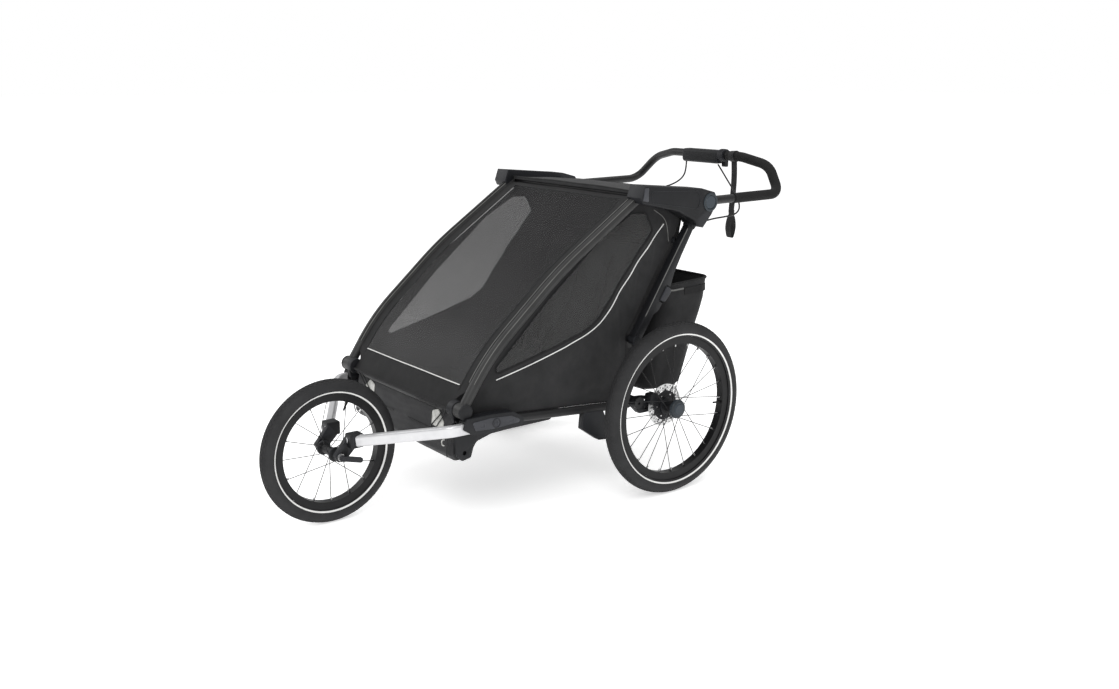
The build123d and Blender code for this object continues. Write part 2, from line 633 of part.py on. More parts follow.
CONSOLE_X = (-90.0, 64.0)
GRIP_START = 560.0           # y where the foam starts on each side arm


def handlebar_grips():
    """Foam sleeves from the side arms round to the console."""
    sleeve = pipe(bar_points(), BAR_BENDS + BAR_BENDS[::-1], GRIP_RADIUS,
                  BAR_RADIUS + SEAT_GAP)
    left = sleeve & box((CONSOLE_X[1] + 22.5, 400), (GRIP_START, 900), (700, 1000))
    right = sleeve & box((-400, CONSOLE_X[0] - 0.5), (GRIP_START, 900), (700, 1000))
    return [left, right]


def brake_console():
    y, z = BAR_TOP[1], BAR_TOP[2]
    body = box(CONSOLE_X, (y - 20, y + 18), (z - 27, z + 16))
    body = fillet(body.edges().filter_by(Axis.X), 9.0)
    return body - rod_x(-200, 200, (y, z), BAR_RADIUS + SEAT_GAP)


def brake_lever():
    """Parking and hand brake lever on the console's left end."""
    y, z = BAR_TOP[1], BAR_TOP[2]
    x = (CONSOLE_X[1] + 0.6, CONSOLE_X[1] + 21.5)
    collar = rod_x(*x, (y, z), 20.0)
    paddle = box((x[0] + 3, x[1] - 3), (y + 1, y + 15), (z - 36, z - 12))
    lever = collar + fillet(paddle.edges().filter_by(Axis.X), 4.0)
    return lever - rod_x(*x, (y, z), BAR_RADIUS + RUNNING_GAP)


STRAP_X = 120.0
STRAP_DROP = 166.0           # from the handlebar to the strap's end loop


def wrist_strap():
    """Flat webbing loop that hangs from the handlebar."""
    y, z = BAR_TOP[1], BAR_TOP[2]
    wrap = GRIP_RADIUS + SEAT_GAP
    band = Circle(wrap + 2) - Circle(wrap)
    middle = -wrap - STRAP_DROP / 2
    band += Pos(0, middle) * (Rectangle(5, STRAP_DROP) - Rectangle(1, STRAP_DROP + 1))
    low = -wrap - STRAP_DROP
    loop = Pos(0, low - 36) * (SlotOverall(76, 26, rotation=90) - SlotOverall(72, 22, rotation=90))
    band += loop
    band = extrude(Plane.YZ.offset(STRAP_X - STRAP_WIDTH / 2) * band, STRAP_WIDTH)
    return Pos(0, y, z) * band


UNDER_ARM = [(296.0, 600.0, 772.0), (300.0, 552.0, 769.0), (299.0, 505.0, 767.0),
             (296.0, 467.0, 761.0), (296.0, 424.0, 747.5)]
LEFT_CABLE = [(58.0, 768.0, 895.2), (88.0, 757.0, 876.0), (138.0, 731.0, 851.0),
              (195.0, 702.0, 824.0), (246.0, 668.0, 801.0), (279.0, 636.0, 783.0)]
RIGHT_CABLE = [(-84.0, 768.0, 897.6), (-87.0, 770.0, 868.0), (-95.0, 764.0, 844.0),
               (-116.0, 752.0, 825.0), (-150.0, 736.0, 810.0), (-196.0, 710.0, 798.0),
               (-242.0, 676.0, 788.0), (-278.0, 638.0, 779.0)]


def cable(points):
    """Round cable whose arcs are as large as their two runs allow."""
    radii = []
    for before, here, after in zip(points, points[1:], points[2:]):
        first = Vector(*here) - Vector(*before)
        second = Vector(*after) - Vector(*here)
        half_turn = math.radians(first.get_angle(second)) / 2
        radii.append(0.45 * min(first.length, second.length) / math.tan(half_turn))
    return pipe(points, radii, CABLE_RADIUS)


def brake_cables():
    right_end = [(-x, y, z) for x, y, z in UNDER_ARM]
    return [cable(LEFT_CABLE + UNDER_ARM), cable(RIGHT_CABLE + right_end)]


# ---- the model ----------------------------------------------------------------------
def rear_wheel(side):
    """Nodes of one rear wheel; side is 1 for the left wheel and -1 for the right one."""
    rim_base = REAR_RADIUS - 2 * REAR_TYRE_RADIUS + 6 - SEAT_GAP - 20.5
    pieces = {
        "tyre": [tyre(REAR_RADIUS, REAR_TYRE_RADIUS)],
        "rim": [rim(REAR_RADIUS, REAR_TYRE_RADIUS)],
        "spokes": spokes(24, rim_base, REAR_FLANGES, FLANGE_RADIUS),
        "hub": rear_hub(),
        "brake_disc": [Pos(DISC_X - TRACK / 2, 0, 0) * brake_disc()],
        "hub_button": [hub_button()],
    }
    placed = {}
    for name, solids in pieces.items():
        moved = [Pos(TRACK / 2, AXLE_Y, REAR_RADIUS) * solid for solid in solids]
        placed[name] = moved if side > 0 else [mirror(s, about=Plane.YZ) for s in moved]
    return placed


def front_wheel():
    rim_base = FRONT_RADIUS - 2 * FRONT_TYRE_RADIUS + 6 - SEAT_GAP - 20.5
    pieces = {
        "front_tyre": [tyre(FRONT_RADIUS, FRONT_TYRE_RADIUS)],
        "front_rim": [rim(FRONT_RADIUS, FRONT_TYRE_RADIUS)],
        "front_spokes": spokes(16, rim_base, (-34.0, 34.0), 20.0),
        "front_hub": [front_hub()],
    }
    place = Pos(0, FRONT_Y, FRONT_RADIUS)
    return {name: [place * solid for solid in solids] for name, solids in pieces.items()}


def model():
    """Every node and its solids."""
    left_panel, right_panel = both_sides(side_panel())
    nodes = {
        "side_rails": side_rails(),
        "crossbars": crossbars(),
        "corner_joints": corner_joints(),
        "connectors": connectors(),
        "floor_brackets": floor_brackets(),
        "rear_posts": rear_posts(),
        "floor_tub": [floor_tub()],
        "seat_base": [seat_base()],
        "seat_pad": [seat_pad()],
        "backrest": [backrest()],
        "harness": harness(),
        "side_panel_left": [left_panel],
        "side_panel_right": [right_panel],
        "side_windows": both_sides(side_panel(window=True)),
        "back_panel": [back_panel()],
        "basket": basket(),
        "jog_arms": jog_arms(),
        "hub_brackets": hub_brackets(),
        "front_axle": [front_axle()],
        "quick_release_lever": [quick_release_lever()],
        "front_pillars": front_pillars(),
        "roof_bows": roof_bows(),
        "front_cover": [front_cover()],
        "roof_panel": [roof_panel()],
        "rear_pillars": rear_pillars(),
        "handlebar_tube": [handlebar_tube()],
        "handlebar_grips": handlebar_grips(),
        "brake_console": [brake_console()],
        "brake_lever": [brake_lever()],
        "wrist_strap": [wrist_strap()],
        "brake_cables": brake_cables(),
    }
    paired = {
        "connector_button": connector_button(),
        "suspension_arm": suspension_arm(),
        "brake_caliper": brake_caliper(),
        "top_bracket": top_bracket(),
        "adjust_button": adjust_button(),
        "latch_lever": latch_lever(),
    }
    for name, solid in paired.items():
        for side, copy in zip(("left", "right"), both_sides(solid)):
            nodes[f"{name}_{side}"] = [copy]
    for side, sign in (("left", 1), ("right", -1)):
        for name, solids in rear_wheel(sign).items():
            nodes[f"{name}_{side}"] = solids
    nodes.update(front_wheel())
    return nodes


os.makedirs("parts", exist_ok=True)
for node, pieces in model().items():
    solids = [solid for piece in pieces for solid in piece.solids()]
    shape = solids[0] if len(solids) == 1 else Compound(children=solids)
    export_step(shape, f"parts/{node}.step")
print("nodes written")
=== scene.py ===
import json
import logging
import math
from dataclasses import dataclass, field
from enum import Enum
from typing import Any, Callable, Optional, Sequence

import bmesh
import bpy
import numpy as np
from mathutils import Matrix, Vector
from mathutils.geometry import delaunay_2d_cdt

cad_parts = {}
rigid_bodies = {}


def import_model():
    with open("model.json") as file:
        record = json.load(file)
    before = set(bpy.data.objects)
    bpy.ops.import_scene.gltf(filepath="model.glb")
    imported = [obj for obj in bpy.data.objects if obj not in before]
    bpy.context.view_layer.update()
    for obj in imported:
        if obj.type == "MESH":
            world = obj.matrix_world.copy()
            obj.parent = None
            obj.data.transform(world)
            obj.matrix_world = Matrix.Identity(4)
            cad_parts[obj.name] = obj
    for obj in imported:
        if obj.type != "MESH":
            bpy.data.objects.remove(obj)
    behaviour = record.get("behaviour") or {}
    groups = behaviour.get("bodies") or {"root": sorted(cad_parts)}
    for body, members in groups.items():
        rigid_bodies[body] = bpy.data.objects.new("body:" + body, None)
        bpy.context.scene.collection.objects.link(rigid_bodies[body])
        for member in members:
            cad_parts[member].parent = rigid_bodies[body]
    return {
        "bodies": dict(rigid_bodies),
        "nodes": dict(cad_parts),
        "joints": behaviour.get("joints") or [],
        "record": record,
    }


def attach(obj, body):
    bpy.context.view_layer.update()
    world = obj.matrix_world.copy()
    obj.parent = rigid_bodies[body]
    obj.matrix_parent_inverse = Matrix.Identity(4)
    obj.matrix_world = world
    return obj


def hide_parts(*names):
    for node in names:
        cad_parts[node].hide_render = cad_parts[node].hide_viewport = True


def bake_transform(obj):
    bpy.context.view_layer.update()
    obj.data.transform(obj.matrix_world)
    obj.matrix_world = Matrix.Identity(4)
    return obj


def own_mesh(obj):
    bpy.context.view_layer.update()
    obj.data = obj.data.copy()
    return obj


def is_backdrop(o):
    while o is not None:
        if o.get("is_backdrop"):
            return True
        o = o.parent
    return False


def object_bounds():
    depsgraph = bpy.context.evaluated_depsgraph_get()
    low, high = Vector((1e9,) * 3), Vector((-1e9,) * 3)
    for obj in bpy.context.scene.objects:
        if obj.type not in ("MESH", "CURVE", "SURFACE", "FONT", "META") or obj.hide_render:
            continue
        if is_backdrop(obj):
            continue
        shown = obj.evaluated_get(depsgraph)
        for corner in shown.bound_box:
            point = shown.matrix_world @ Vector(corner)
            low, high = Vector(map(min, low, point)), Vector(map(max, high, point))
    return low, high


# A two-seat child bicycle trailer with a jogging wheel, dressed round its fixed frame.
# Sizes are millimetres, and metres only in the meshes. +Z is up, the front faces -Y.

LOG = logging.getLogger("trailer")
MM = 0.001
Pair = tuple[float, float]
Point = tuple[float, float, float]


# ---- finishes -----------------------------------------------------------------------
def linear(code: str) -> tuple[float, float, float, float]:
    """Linear colour of an sRGB hex value.

    Args:
        code: six hex digits.
    Returns:
        Red, green, blue and an alpha of 1.
    """
    parts = [int(code[i : i + 2], 16) / 255 for i in (0, 2, 4)]
    bent = [c / 12.92 if c <= 0.04045 else ((c + 0.055) / 1.055) ** 2.4 for c in parts]
    return (bent[0], bent[1], bent[2], 1.0)


def add_node(tree: Any, kind: str, inputs: Optional[dict] = None, **settings: Any) -> Any:
    """Adds a node with its settings and links.

    Args:
        tree: the node tree.
        kind: the node's type name.
        inputs: socket name or number to a value or to another node's output.
        settings: the node's own properties.
    Returns:
        The new node.
    """
    node = tree.nodes.new(kind)
    for key, value in settings.items():
        setattr(node, key, value)
    for key, value in (inputs or {}).items():
        if isinstance(value, bpy.types.NodeSocket):
            tree.links.new(value, node.inputs[key])
        else:
            node.inputs[key].default_value = value
    return node


class Pattern(Enum):
    """How a surface was made, which decides its fine relief."""

    WOVEN = "woven"
    MOULDED = "moulded"
    BRUSHED = "brushed"
    FOAM = "foam"


@dataclass(frozen=True)
class Finish:
    """One material: its two colours, gloss and surface relief."""

    name: str
    slot: str
    colour: str
    shade: str
    roughness: float
    pattern: Pattern
    pitch: float  # spacing of the relief, mm
    depth: float  # height of the relief, mm
    metallic: float = 0.0
    alpha: float = 1.0
    sheen: float = 0.0
    coat: float = 0.0
    edge_highlight: str = ""  # colour painted on sharp edges as a painted highlight, if any
    gleam: float = 0.28  # strength of the mirror-like part of the light
    drift: float = 45.0  # size of the slow colour change, mm

    def relief(self, tree: Any, place: Any) -> Any:
        """Height socket of the fine relief, for object coordinates.

        Args:
            tree: the material's node tree.
            place: socket of the object coordinates.
        Returns:
            The height socket.
        """
        per_metre = 1 / (self.pitch * MM)
        if self.pattern is Pattern.WOVEN:
            turns = add_node(tree, "ShaderNodeVectorMath",
                             {0: place, "Scale": 2 * math.pi * per_metre}, operation="SCALE")
            waves = add_node(tree, "ShaderNodeVectorMath", {0: turns.outputs[0]},
                             operation="SINE")
            return add_node(tree, "ShaderNodeVectorMath",
                            {0: waves.outputs[0], 1: (0.33, 0.33, 0.33)},
                            operation="DOT_PRODUCT").outputs["Value"]
        if self.pattern is Pattern.FOAM:
            return add_node(tree, "ShaderNodeTexVoronoi",
                            {"Vector": place, "Scale": per_metre}).outputs["Distance"]
        if self.pattern is Pattern.BRUSHED:
            place = add_node(tree, "ShaderNodeVectorMath", {0: place, 1: (1.0, 0.03, 1.0)},
                             operation="MULTIPLY").outputs[0]
        return add_node(tree, "ShaderNodeTexNoise",
                        {"Vector": place, "Scale": per_metre, "Detail": 3.0}).outputs["Fac"]

    def material(self) -> Any:
        """The Blender material, made once.

        Returns:
            The material, with its nodes.
        """
        known = bpy.data.materials.get(self.name)
        if known:
            return known
        material = bpy.data.materials.new(self.name)
        material.use_nodes = True
        tree = material.node_tree
        tree.nodes.clear()
        place = add_node(tree, "ShaderNodeTexCoord").outputs["Object"]
        height = self.relief(tree, place)
        slow = add_node(tree, "ShaderNodeTexNoise",
                        {"Vector": place, "Scale": 1 / (self.drift * MM), "Detail": 4.0,
                         "Roughness": 0.6}).outputs["Fac"]
        spread = add_node(tree, "ShaderNodeMapRange",
                          {"Value": slow, "From Min": 0.32, "From Max": 0.68}).outputs[0]
        colour = add_node(tree, "ShaderNodeMix",
                          {0: spread, 6: linear(self.colour), 7: linear(self.shade)},
                          data_type="RGBA").outputs[2]
        if self.pattern is Pattern.WOVEN:
            thread = add_node(tree, "ShaderNodeMapRange",
                              {"Value": height, "From Min": -0.7, "From Max": 0.7,
                               "To Min": 0.82, "To Max": 1.12}).outputs[0]
            colour = add_node(tree, "ShaderNodeVectorMath", {0: colour, "Scale": thread},
                              operation="SCALE").outputs[0]
        # Sharp edges, found by pointiness, are painted paler: a painted highlight, not wear.
        if self.edge_highlight:
            point = add_node(tree, "ShaderNodeNewGeometry").outputs["Pointiness"]
            edge = add_node(tree, "ShaderNodeMapRange",
                            {"Value": point, "From Min": 0.515, "From Max": 0.58,
                             "To Max": 0.7}).outputs[0]
            colour = add_node(tree, "ShaderNodeMix", {0: edge, 6: colour, 7: linear(self.edge_highlight)},
                              data_type="RGBA").outputs[2]
        gloss = add_node(tree, "ShaderNodeMapRange",
                         {"Value": slow, "To Min": self.roughness - 0.08,
                          "To Max": min(1.0, self.roughness + 0.08)}).outputs[0]
        bump = add_node(tree, "ShaderNodeBump",
                        {"Height": height, "Strength": 0.8, "Distance": self.depth * MM})
        shader = add_node(tree, "ShaderNodeBsdfPrincipled",
                          {"Base Color": colour, "Roughness": gloss, "Metallic": self.metallic,
                           "Alpha": self.alpha, "Sheen Weight": self.sheen,
                           "Coat Weight": self.coat, "Normal": bump.outputs[0],
                           "Specular IOR Level": self.gleam})
        add_node(tree, "ShaderNodeOutputMaterial", {"Surface": shader.outputs[0]})
        if self.alpha < 1:
            material.surface_render_method = "BLENDED"
        return material


# Coated polyester, woven: matt charcoal with a faint thread. Threads are under 0.5 mm on
# the real cloth, and are drawn at 2.4 mm so that they show.
CANOPY = Finish("coated_polyester_charcoal", "fabric_dark", "262627", "202021", 0.78,
                Pattern.WOVEN, 2.4, 0.12, sheen=0.05)
HEM = Finish("coated_polyester_black", "fabric_dark", "161617", "121213", 0.8,
             Pattern.WOVEN, 2.4, 0.12, sheen=0.05)
# The footwell's heavier polyester is a lighter grey, with the same thread.
FOOTWELL = Finish("woven_polyester_grey", "fabric_grey", "303031", "28282A", 0.75,
                  Pattern.WOVEN, 2.4, 0.15, sheen=0.08)
# Tinted flexible vinyl: dark, see-through, with a soft sheen and slow ripples.
FILM = Finish("tinted_vinyl_film", "window", "3A3A3A", "353535", 0.34, Pattern.MOULDED,
              60.0, 0.12, alpha=0.64, drift=120)
COVER_FILM = Finish("tinted_vinyl_cover", "cover", "1E1E1F", "1B1B1C", 0.42, Pattern.MOULDED,
                    70.0, 0.12, alpha=0.56, drift=150)
# Reflective piping: glass-bead cord, which reads as a clean white line.
PIPING = Finish("reflective_piping", "webbing", "E8E8E6", "D8D8D6", 0.4, Pattern.FOAM,
                1.2, 0.05)
SEAM = Finish("keder_welt_grey", "fabric_grey", "6E6E6C", "5E5E5C", 0.5, Pattern.WOVEN,
              2.4, 0.08)
PATCH = Finish("reflective_patch", "webbing", "D4D4D0", "A8A8A4", 0.35, Pattern.FOAM,
               3.0, 0.1, drift=18)
WEBBING = Finish("woven_webbing_black", "webbing", "1A1A1B", "131314", 0.7, Pattern.WOVEN,
                 2.0, 0.25, sheen=0.1)
PADDING = Finish("padded_polyester", "padding", "3A3A3C", "303032", 0.8, Pattern.WOVEN,
                 2.6, 0.2, sheen=0.1)
# Powder-coated aluminium tube: satin, near black, with a very fine orange peel.
FRAME = Finish("powder_coated_tube", "frame", "1E1E1F", "1A1A1B", 0.42, Pattern.MOULDED,
               1.4, 0.03)
PILLAR = Finish("satin_grey_tube", "frame", "303030", "2A2A2A", 0.45, Pattern.MOULDED,
                1.4, 0.03)
# Glass-filled nylon: moulded with a fine spark texture, bluish black, with a painted highlight
# on its edges.
NYLON = Finish("moulded_nylon_black", "black_plastic", "121316", "0F1012", 0.52,
               Pattern.MOULDED, 0.9, 0.05, edge_highlight="26272B")
NYLON_GREY = Finish("moulded_nylon_grey", "grey_plastic", "2C2D31", "26272B", 0.5,
                    Pattern.MOULDED, 0.9, 0.05, edge_highlight="4A4B50")
# The caps also get a paler colour on their sharp edges: a painted highlight.
CAP = Finish("moulded_cap_slate", "cap", "1E2226", "1A1E22", 0.38, Pattern.MOULDED,
             0.9, 0.03, edge_highlight="3A4248")
CAP_DISC = Finish("moulded_cap_inset", "cap", "2C333A", "272D33", 0.35, Pattern.MOULDED,
                  0.9, 0.03, edge_highlight="4A545C")
# Anodised aluminium, brushed along the arm before it was coated.
SILVER = Finish("anodised_aluminium", "silver", "CFCFD0", "C4C4C6", 0.36, Pattern.BRUSHED,
                0.8, 0.02, metallic=0.55)
STEEL = Finish("ground_stainless", "steel", "DCDCDC", "C8C8C8", 0.3, Pattern.BRUSHED,
               0.7, 0.02, metallic=0.8)
SPOKE = Finish("black_spoke_wire", "steel", "1C1C1D", "171718", 0.4, Pattern.MOULDED,
               1.0, 0.01, metallic=0.3)
RIM = Finish("black_anodised_rim", "rim", "1B1B1C", "161617", 0.4, Pattern.BRUSHED,
             1.0, 0.02, metallic=0.3)
RUBBER = Finish("tyre_rubber", "tyre", "2B2B2C", "252526", 0.72, Pattern.MOULDED,
                1.6, 0.12)
# Closed-cell foam: matt, with a pebbled skin of 2 mm cells.
FOAM = Finish("closed_cell_foam", "foam", "191919", "131313", 0.85, Pattern.FOAM, 2.2, 0.3)
CABLE = Finish("cable_jacket", "cable", "161616", "101010", 0.45, Pattern.MOULDED,
               2.0, 0.02)


# ---- shapes -------------------------------------------------------------------------
@dataclass
class Shape:
    """Points in millimetres and the faces between them."""

    points: list = field(default_factory=list)
    faces: list = field(default_factory=list)

    def __add__(self, other: "Shape") -> "Shape":
        """Both shapes as one."""
        first = len(self.points)
        moved = [tuple(i + first for i in face) for face in other.faces]
        return Shape(list(self.points) + list(other.points), list(self.faces) + moved)

    def mirrored(self) -> "Shape":
        """The same shape on the other side, with its faces still outwards."""
        return Shape([(-x, y, z) for x, y, z in self.points],
                     [tuple(reversed(face)) for face in self.faces])

    def on(self, side: int) -> "Shape":
        """The left-hand shape itself for side 1, or its mirror image for side -1."""
        return self if side > 0 else self.mirrored()

    def moved(self, shift: Point) -> "Shape":
        """The shape moved by a shift."""
        return Shape([tuple(a + b for a, b in zip(p, shift)) for p in self.points],
                     self.faces)

    def piece(self, name: str, finish: Finish, outwards: bool = True,
              crease: float = 42.0) -> Any:
        """A Blender mesh object of the shape.

        Args:
            name: the piece's name.
            finish: its material.
            outwards: whether to turn every face of a closed shape outwards.
            crease: angle in degrees above which an edge stays sharp.
        Returns:
            The object, at the origin.
        """
        mesh = bpy.data.meshes.new(name)
        mesh.from_pydata([tuple(c * MM for c in p) for p in self.points], [], self.faces)
        tidy = bmesh.new()
        tidy.from_mesh(mesh)
        bmesh.ops.remove_doubles(tidy, verts=tidy.verts, dist=0.02 * MM)
        if outwards:
            bmesh.ops.recalc_face_normals(tidy, faces=tidy.faces)
        tidy.to_mesh(mesh)
        tidy.free()
        return finished(mesh, name, finish, crease)


def finished(mesh: Any, name: str, finish: Finish, crease: float = 42.0) -> Any:
    """Links a mesh as an object with its material, smooth but for sharp edges.

    Args:
        mesh: the mesh.
        name: the object's name.
        finish: its material and slot.
        crease: angle in degrees above which an edge stays sharp.
    Returns:
        The linked object.
    """
    mesh.shade_smooth()
    mesh.set_sharp_from_angle(angle=math.radians(crease))
    mesh.materials.clear()
    mesh.materials.append(finish.material())
    piece = bpy.data.objects.new(name, mesh)
    bpy.context.collection.objects.link(piece)
    return piece


def frozen(piece: Any, crease: float = 42.0) -> Any:
    """Turns a piece's modifiers into plain mesh and removes them.

    Args:
        piece: the object.
        crease: angle in degrees above which an edge stays sharp.
    Returns:
        The same object.
    """
    bpy.context.view_layer.update()
    ready = piece.evaluated_get(bpy.context.evaluated_depsgraph_get())
    mesh = bpy.data.meshes.new_from_object(ready)
    piece.modifiers.clear()
    piece.data = mesh
    mesh.shade_smooth()
    mesh.set_sharp_from_angle(angle=math.radians(crease))
    return piece


def thicken(piece: Any, thickness: float, offset: float = 0.0) -> Any:
    """Gives a sheet its thickness in millimetres; offset -1 grows it inwards.

    Args:
        piece: the sheet.
        thickness: the wall, mm.
        offset: -1 for all of it inwards, 0 for half each way.
    Returns:
        The same object.
    """
    wall = piece.modifiers.new("wall", "SOLIDIFY")
    wall.thickness = thickness * MM
    wall.offset = offset
    return frozen(piece)


def circle(radius: float, count: int = 16) -> list[Pair]:
    """Points of a round section."""
    return [(radius * math.cos(2 * math.pi * i / count),
             radius * math.sin(2 * math.pi * i / count)) for i in range(count)]


def slab(width: float, height: float, corner: float = 0.0, count: int = 4) -> list[Pair]:
    """Points of a rectangular section with rounded corners.

    Args:
        width: size across.
        height: size upwards.
        corner: radius of the corners.
        count: steps in each corner.
    Returns:
        The points, in order round the section.
    """
    a, b = width / 2 - corner, height / 2 - corner
    points = []
    for quarter, (x, y) in enumerate([(a, b), (-a, b), (-a, -b), (a, -b)]):
        steps = range(count + 1) if corner else range(1)
        for step in steps:
            turn = math.pi / 2 * (quarter + step / count)
            points.append((x + corner * math.cos(turn), y + corner * math.sin(turn)))
    return points


def rounded(points: Sequence[Sequence[float]], radii: Sequence[float],
            step: float = 8.0) -> list[Vector]:
    """A line of straight runs joined by arcs.

    Args:
        points: the corners, in two or three dimensions.
        radii: one radius for each inner corner.
        step: greatest distance between points on the arcs.
    Returns:
        The points of the line.
    """
    corners = [Vector(p) for p in points]
    line = [corners[0]]
    for before, here, after, radius in zip(corners, corners[1:], corners[2:], radii):
        back, ahead = (before - here).normalized(), (after - here).normalized()
        half = back.angle(ahead) / 2
        reach = radius / math.tan(half)
        centre = here + (back + ahead).normalized() * (radius / math.sin(half))
        start, stop = here + back * reach - centre, here + ahead * reach - centre
        turn = math.pi - 2 * half
        count = max(2, math.ceil(turn * radius / step))
        for i in range(count + 1):
            share = i / count
            mix = (start * math.sin((1 - share) * turn) + stop * math.sin(share * turn))
            line.append(centre + mix / math.sin(turn))
    line.append(corners[-1])
    return line


def flowing(points: Sequence[Sequence[float]], per: int = 8, closed: bool = False) -> list:
    """A smooth line through the given points.

    Args:
        points: the points to pass through.
        per: steps between two of them.
        closed: whether the line is a loop.
    Returns:
        The points of the line.
    """
    nodes = [np.array(p, float) for p in points]
    total = len(nodes)
    line = []
    for i in range(total if closed else total - 1):
        if closed:
            a, b, c, d = (nodes[(i + k) % total] for k in (-1, 0, 1, 2))
        else:
            a, b, c, d = (nodes[min(max(i + k, 0), total - 1)] for k in (-1, 0, 1, 2))
        for j in range(per):
            t = j / per
            line.append(0.5 * (2 * b + (c - a) * t + (2 * a - 5 * b + 4 * c - d) * t * t
                               + (3 * b - a - 3 * c + d) * t ** 3))
    if not closed:
        line.append(nodes[-1])
    return [Vector(p) for p in line]


def divided(line: Sequence[Vector], spacing: float) -> list[Vector]:
    """The line with no run longer than the spacing.

    Args:
        line: points of the line.
        spacing: greatest length of a run.
    Returns:
        The points with others set between them.
    """
    points = [Vector(line[0])]
    for a, b in zip(line, line[1:]):
        count = max(1, math.ceil((Vector(b) - Vector(a)).length / spacing))
        points += [Vector(a).lerp(Vector(b), i / count) for i in range(1, count + 1)]
    return points


def spaced(outline: Sequence[Pair], count: int) -> list[Pair]:
    """A closed outline's points again, a given number of them evenly spaced.

    Args:
        outline: points of the outline.
        count: number of points wanted.
    Returns:
        The new points.
    """
    ends = np.array([*outline, outline[0]], float)
    reach = np.concatenate([[0.0], np.cumsum(np.linalg.norm(np.diff(ends, axis=0), axis=1))])
    places = np.linspace(0.0, reach[-1], count, endpoint=False)
    return list(zip(np.interp(places, reach, ends[:, 0]), np.interp(places, reach, ends[:, 1])))


def sweep(line: Sequence[Sequence[float]], section: Sequence[Pair], closed: bool = False,
          side: Point = (1.0, 0.0, 0.0), scale: Optional[Callable] = None) -> Shape:
    """A section carried along a line without twisting.

    Args:
        line: points of the line.
        section: (across, up) points of the section.
        closed: whether the line is a loop.
        side: direction that the section's first axis starts out nearest to.
        scale: share of the section's size at each share of the length.
    Returns:
        The shape, with closed ends.
    """
    points = [Vector(p) for p in line]
    total = len(points)
    shape = Shape()
    across = Vector(side)
    for i, here in enumerate(points):
        after = points[(i + 1) % total] if closed or i + 1 < total else here
        before = points[i - 1] if closed or i else here
        ahead = (after - before).normalized()
        across = (across - ahead * across.dot(ahead)).normalized()
        up = ahead.cross(across)
        size = scale(i / (total - 1)) if scale else 1.0
        shape.points += [tuple(here + across * (a * size) + up * (b * size))
                         for a, b in section]
    count = len(section)
    for i in range(total if closed else total - 1):
        j = (i + 1) % total
        for k in range(count):
            m = (k + 1) % count
            shape.faces.append((i * count + k, i * count + m, j * count + m, j * count + k))
    if not closed:
        shape.faces.append(tuple(reversed(range(count))))
        shape.faces.append(tuple((total - 1) * count + k for k in range(count)))
    return shape


def lathe(profile: Sequence[Pair], steps: int = 64, closed: bool = True) -> Shape:
    """A profile of (x, radius) points turned about X.

    Args:
        profile: the (x, radius) points.
        steps: number of steps round the axis.
        closed: whether the profile's last point joins its first.
    Returns:
        The turned shape.
    """
    count = len(profile)
    shape = Shape()
    for i in range(steps):
        angle = 2 * math.pi * i / steps
        shape.points += [(x, r * math.cos(angle), r * math.sin(angle)) for x, r in profile]
    for i in range(steps):
        j = (i + 1) % steps
        for k in range(count if closed else count - 1):
            m = (k + 1) % count
            shape.faces.append((i * count + k, i * count + m, j * count + m, j * count + k))
    return shape


def loft(rings: Sequence[Sequence[Point]], capped: bool = True) -> Shape:
    """A skin over rings of the same number of points.

    Args:
        rings: the rings, in order.
        capped: whether both ends are closed.
    Returns:
        The skin.
    """
    count = len(rings[0])
    shape = Shape([tuple(p) for ring in rings for p in ring])
    for i in range(len(rings) - 1):
        for k in range(count):
            m = (k + 1) % count
            shape.faces.append((i * count + k, i * count + m,
                                (i + 1) * count + m, (i + 1) * count + k))
    if capped:
        last = (len(rings) - 1) * count
        shape.faces += [tuple(reversed(range(count))), tuple(range(last, last + count))]
    return shape


def grid(place: Callable[[float, float], Point], across: int, along: int) -> Shape:
    """A sheet over the unit square.

    Args:
        place: gives the point for two shares from 0 to 1.
        across: number of faces in the first share.
        along: number of faces in the second share.
    Returns:
        The open sheet.
    """
    shape = Shape()
    for j in range(along + 1):
        shape.points += [tuple(place(i / across, j / along)) for i in range(across + 1)]
    row = across + 1
    for j in range(along):
        for i in range(across):
            shape.faces.append((j * row + i, j * row + i + 1,
                                (j + 1) * row + i + 1, (j + 1) * row + i))
    return shape


def inside(point: Sequence[float], outline: Sequence[Sequence[float]]) -> bool:
    """Whether a point lies in a closed outline.

    Args:
        point: the (y, z) point.
        outline: points of the outline.
    Returns:
        True where it lies inside.
    """
    hit = False
    y, z = point
    for (y0, z0), (y1, z1) in zip(outline, list(outline[1:]) + [outline[0]]):
        if (z0 > z) != (z1 > z) and y < (y1 - y0) * (z - z0) / (z1 - z0) + y0:
            hit = not hit
    return hit


def reach_to(points: np.ndarray, outline: Sequence[Sequence[float]]) -> np.ndarray:
    """Distance from each point to the nearest run of a closed outline.

    Args:
        points: one (y, z) point a row.
        outline: points of the outline.
    Returns:
        One distance for each point.
    """
    best = np.full(len(points), 1e9)
    ends = np.array(outline, float)
    for a, b in zip(ends, np.roll(ends, -1, axis=0)):
        run = b - a
        share = np.clip(((points - a) @ run) / max(run @ run, 1e-9), 0, 1)
        best = np.minimum(best, np.linalg.norm(points - a - share[:, None] * run, axis=1))
    return best


def loop_of(points: Sequence[Pair], radius: float, spacing: float) -> list[Vector]:
    """A closed outline with rounded corners and short runs.

    Args:
        points: the corners.
        radius: radius of every corner.
        spacing: greatest length of a run.
    Returns:
        The outline's points, without the first one again.
    """
    first, last = Vector(points[0]), Vector(points[-1])
    middle = (first + last) / 2
    line = rounded([middle, *points, middle], [radius] * len(points), spacing)
    return divided(line, spacing)[:-1]


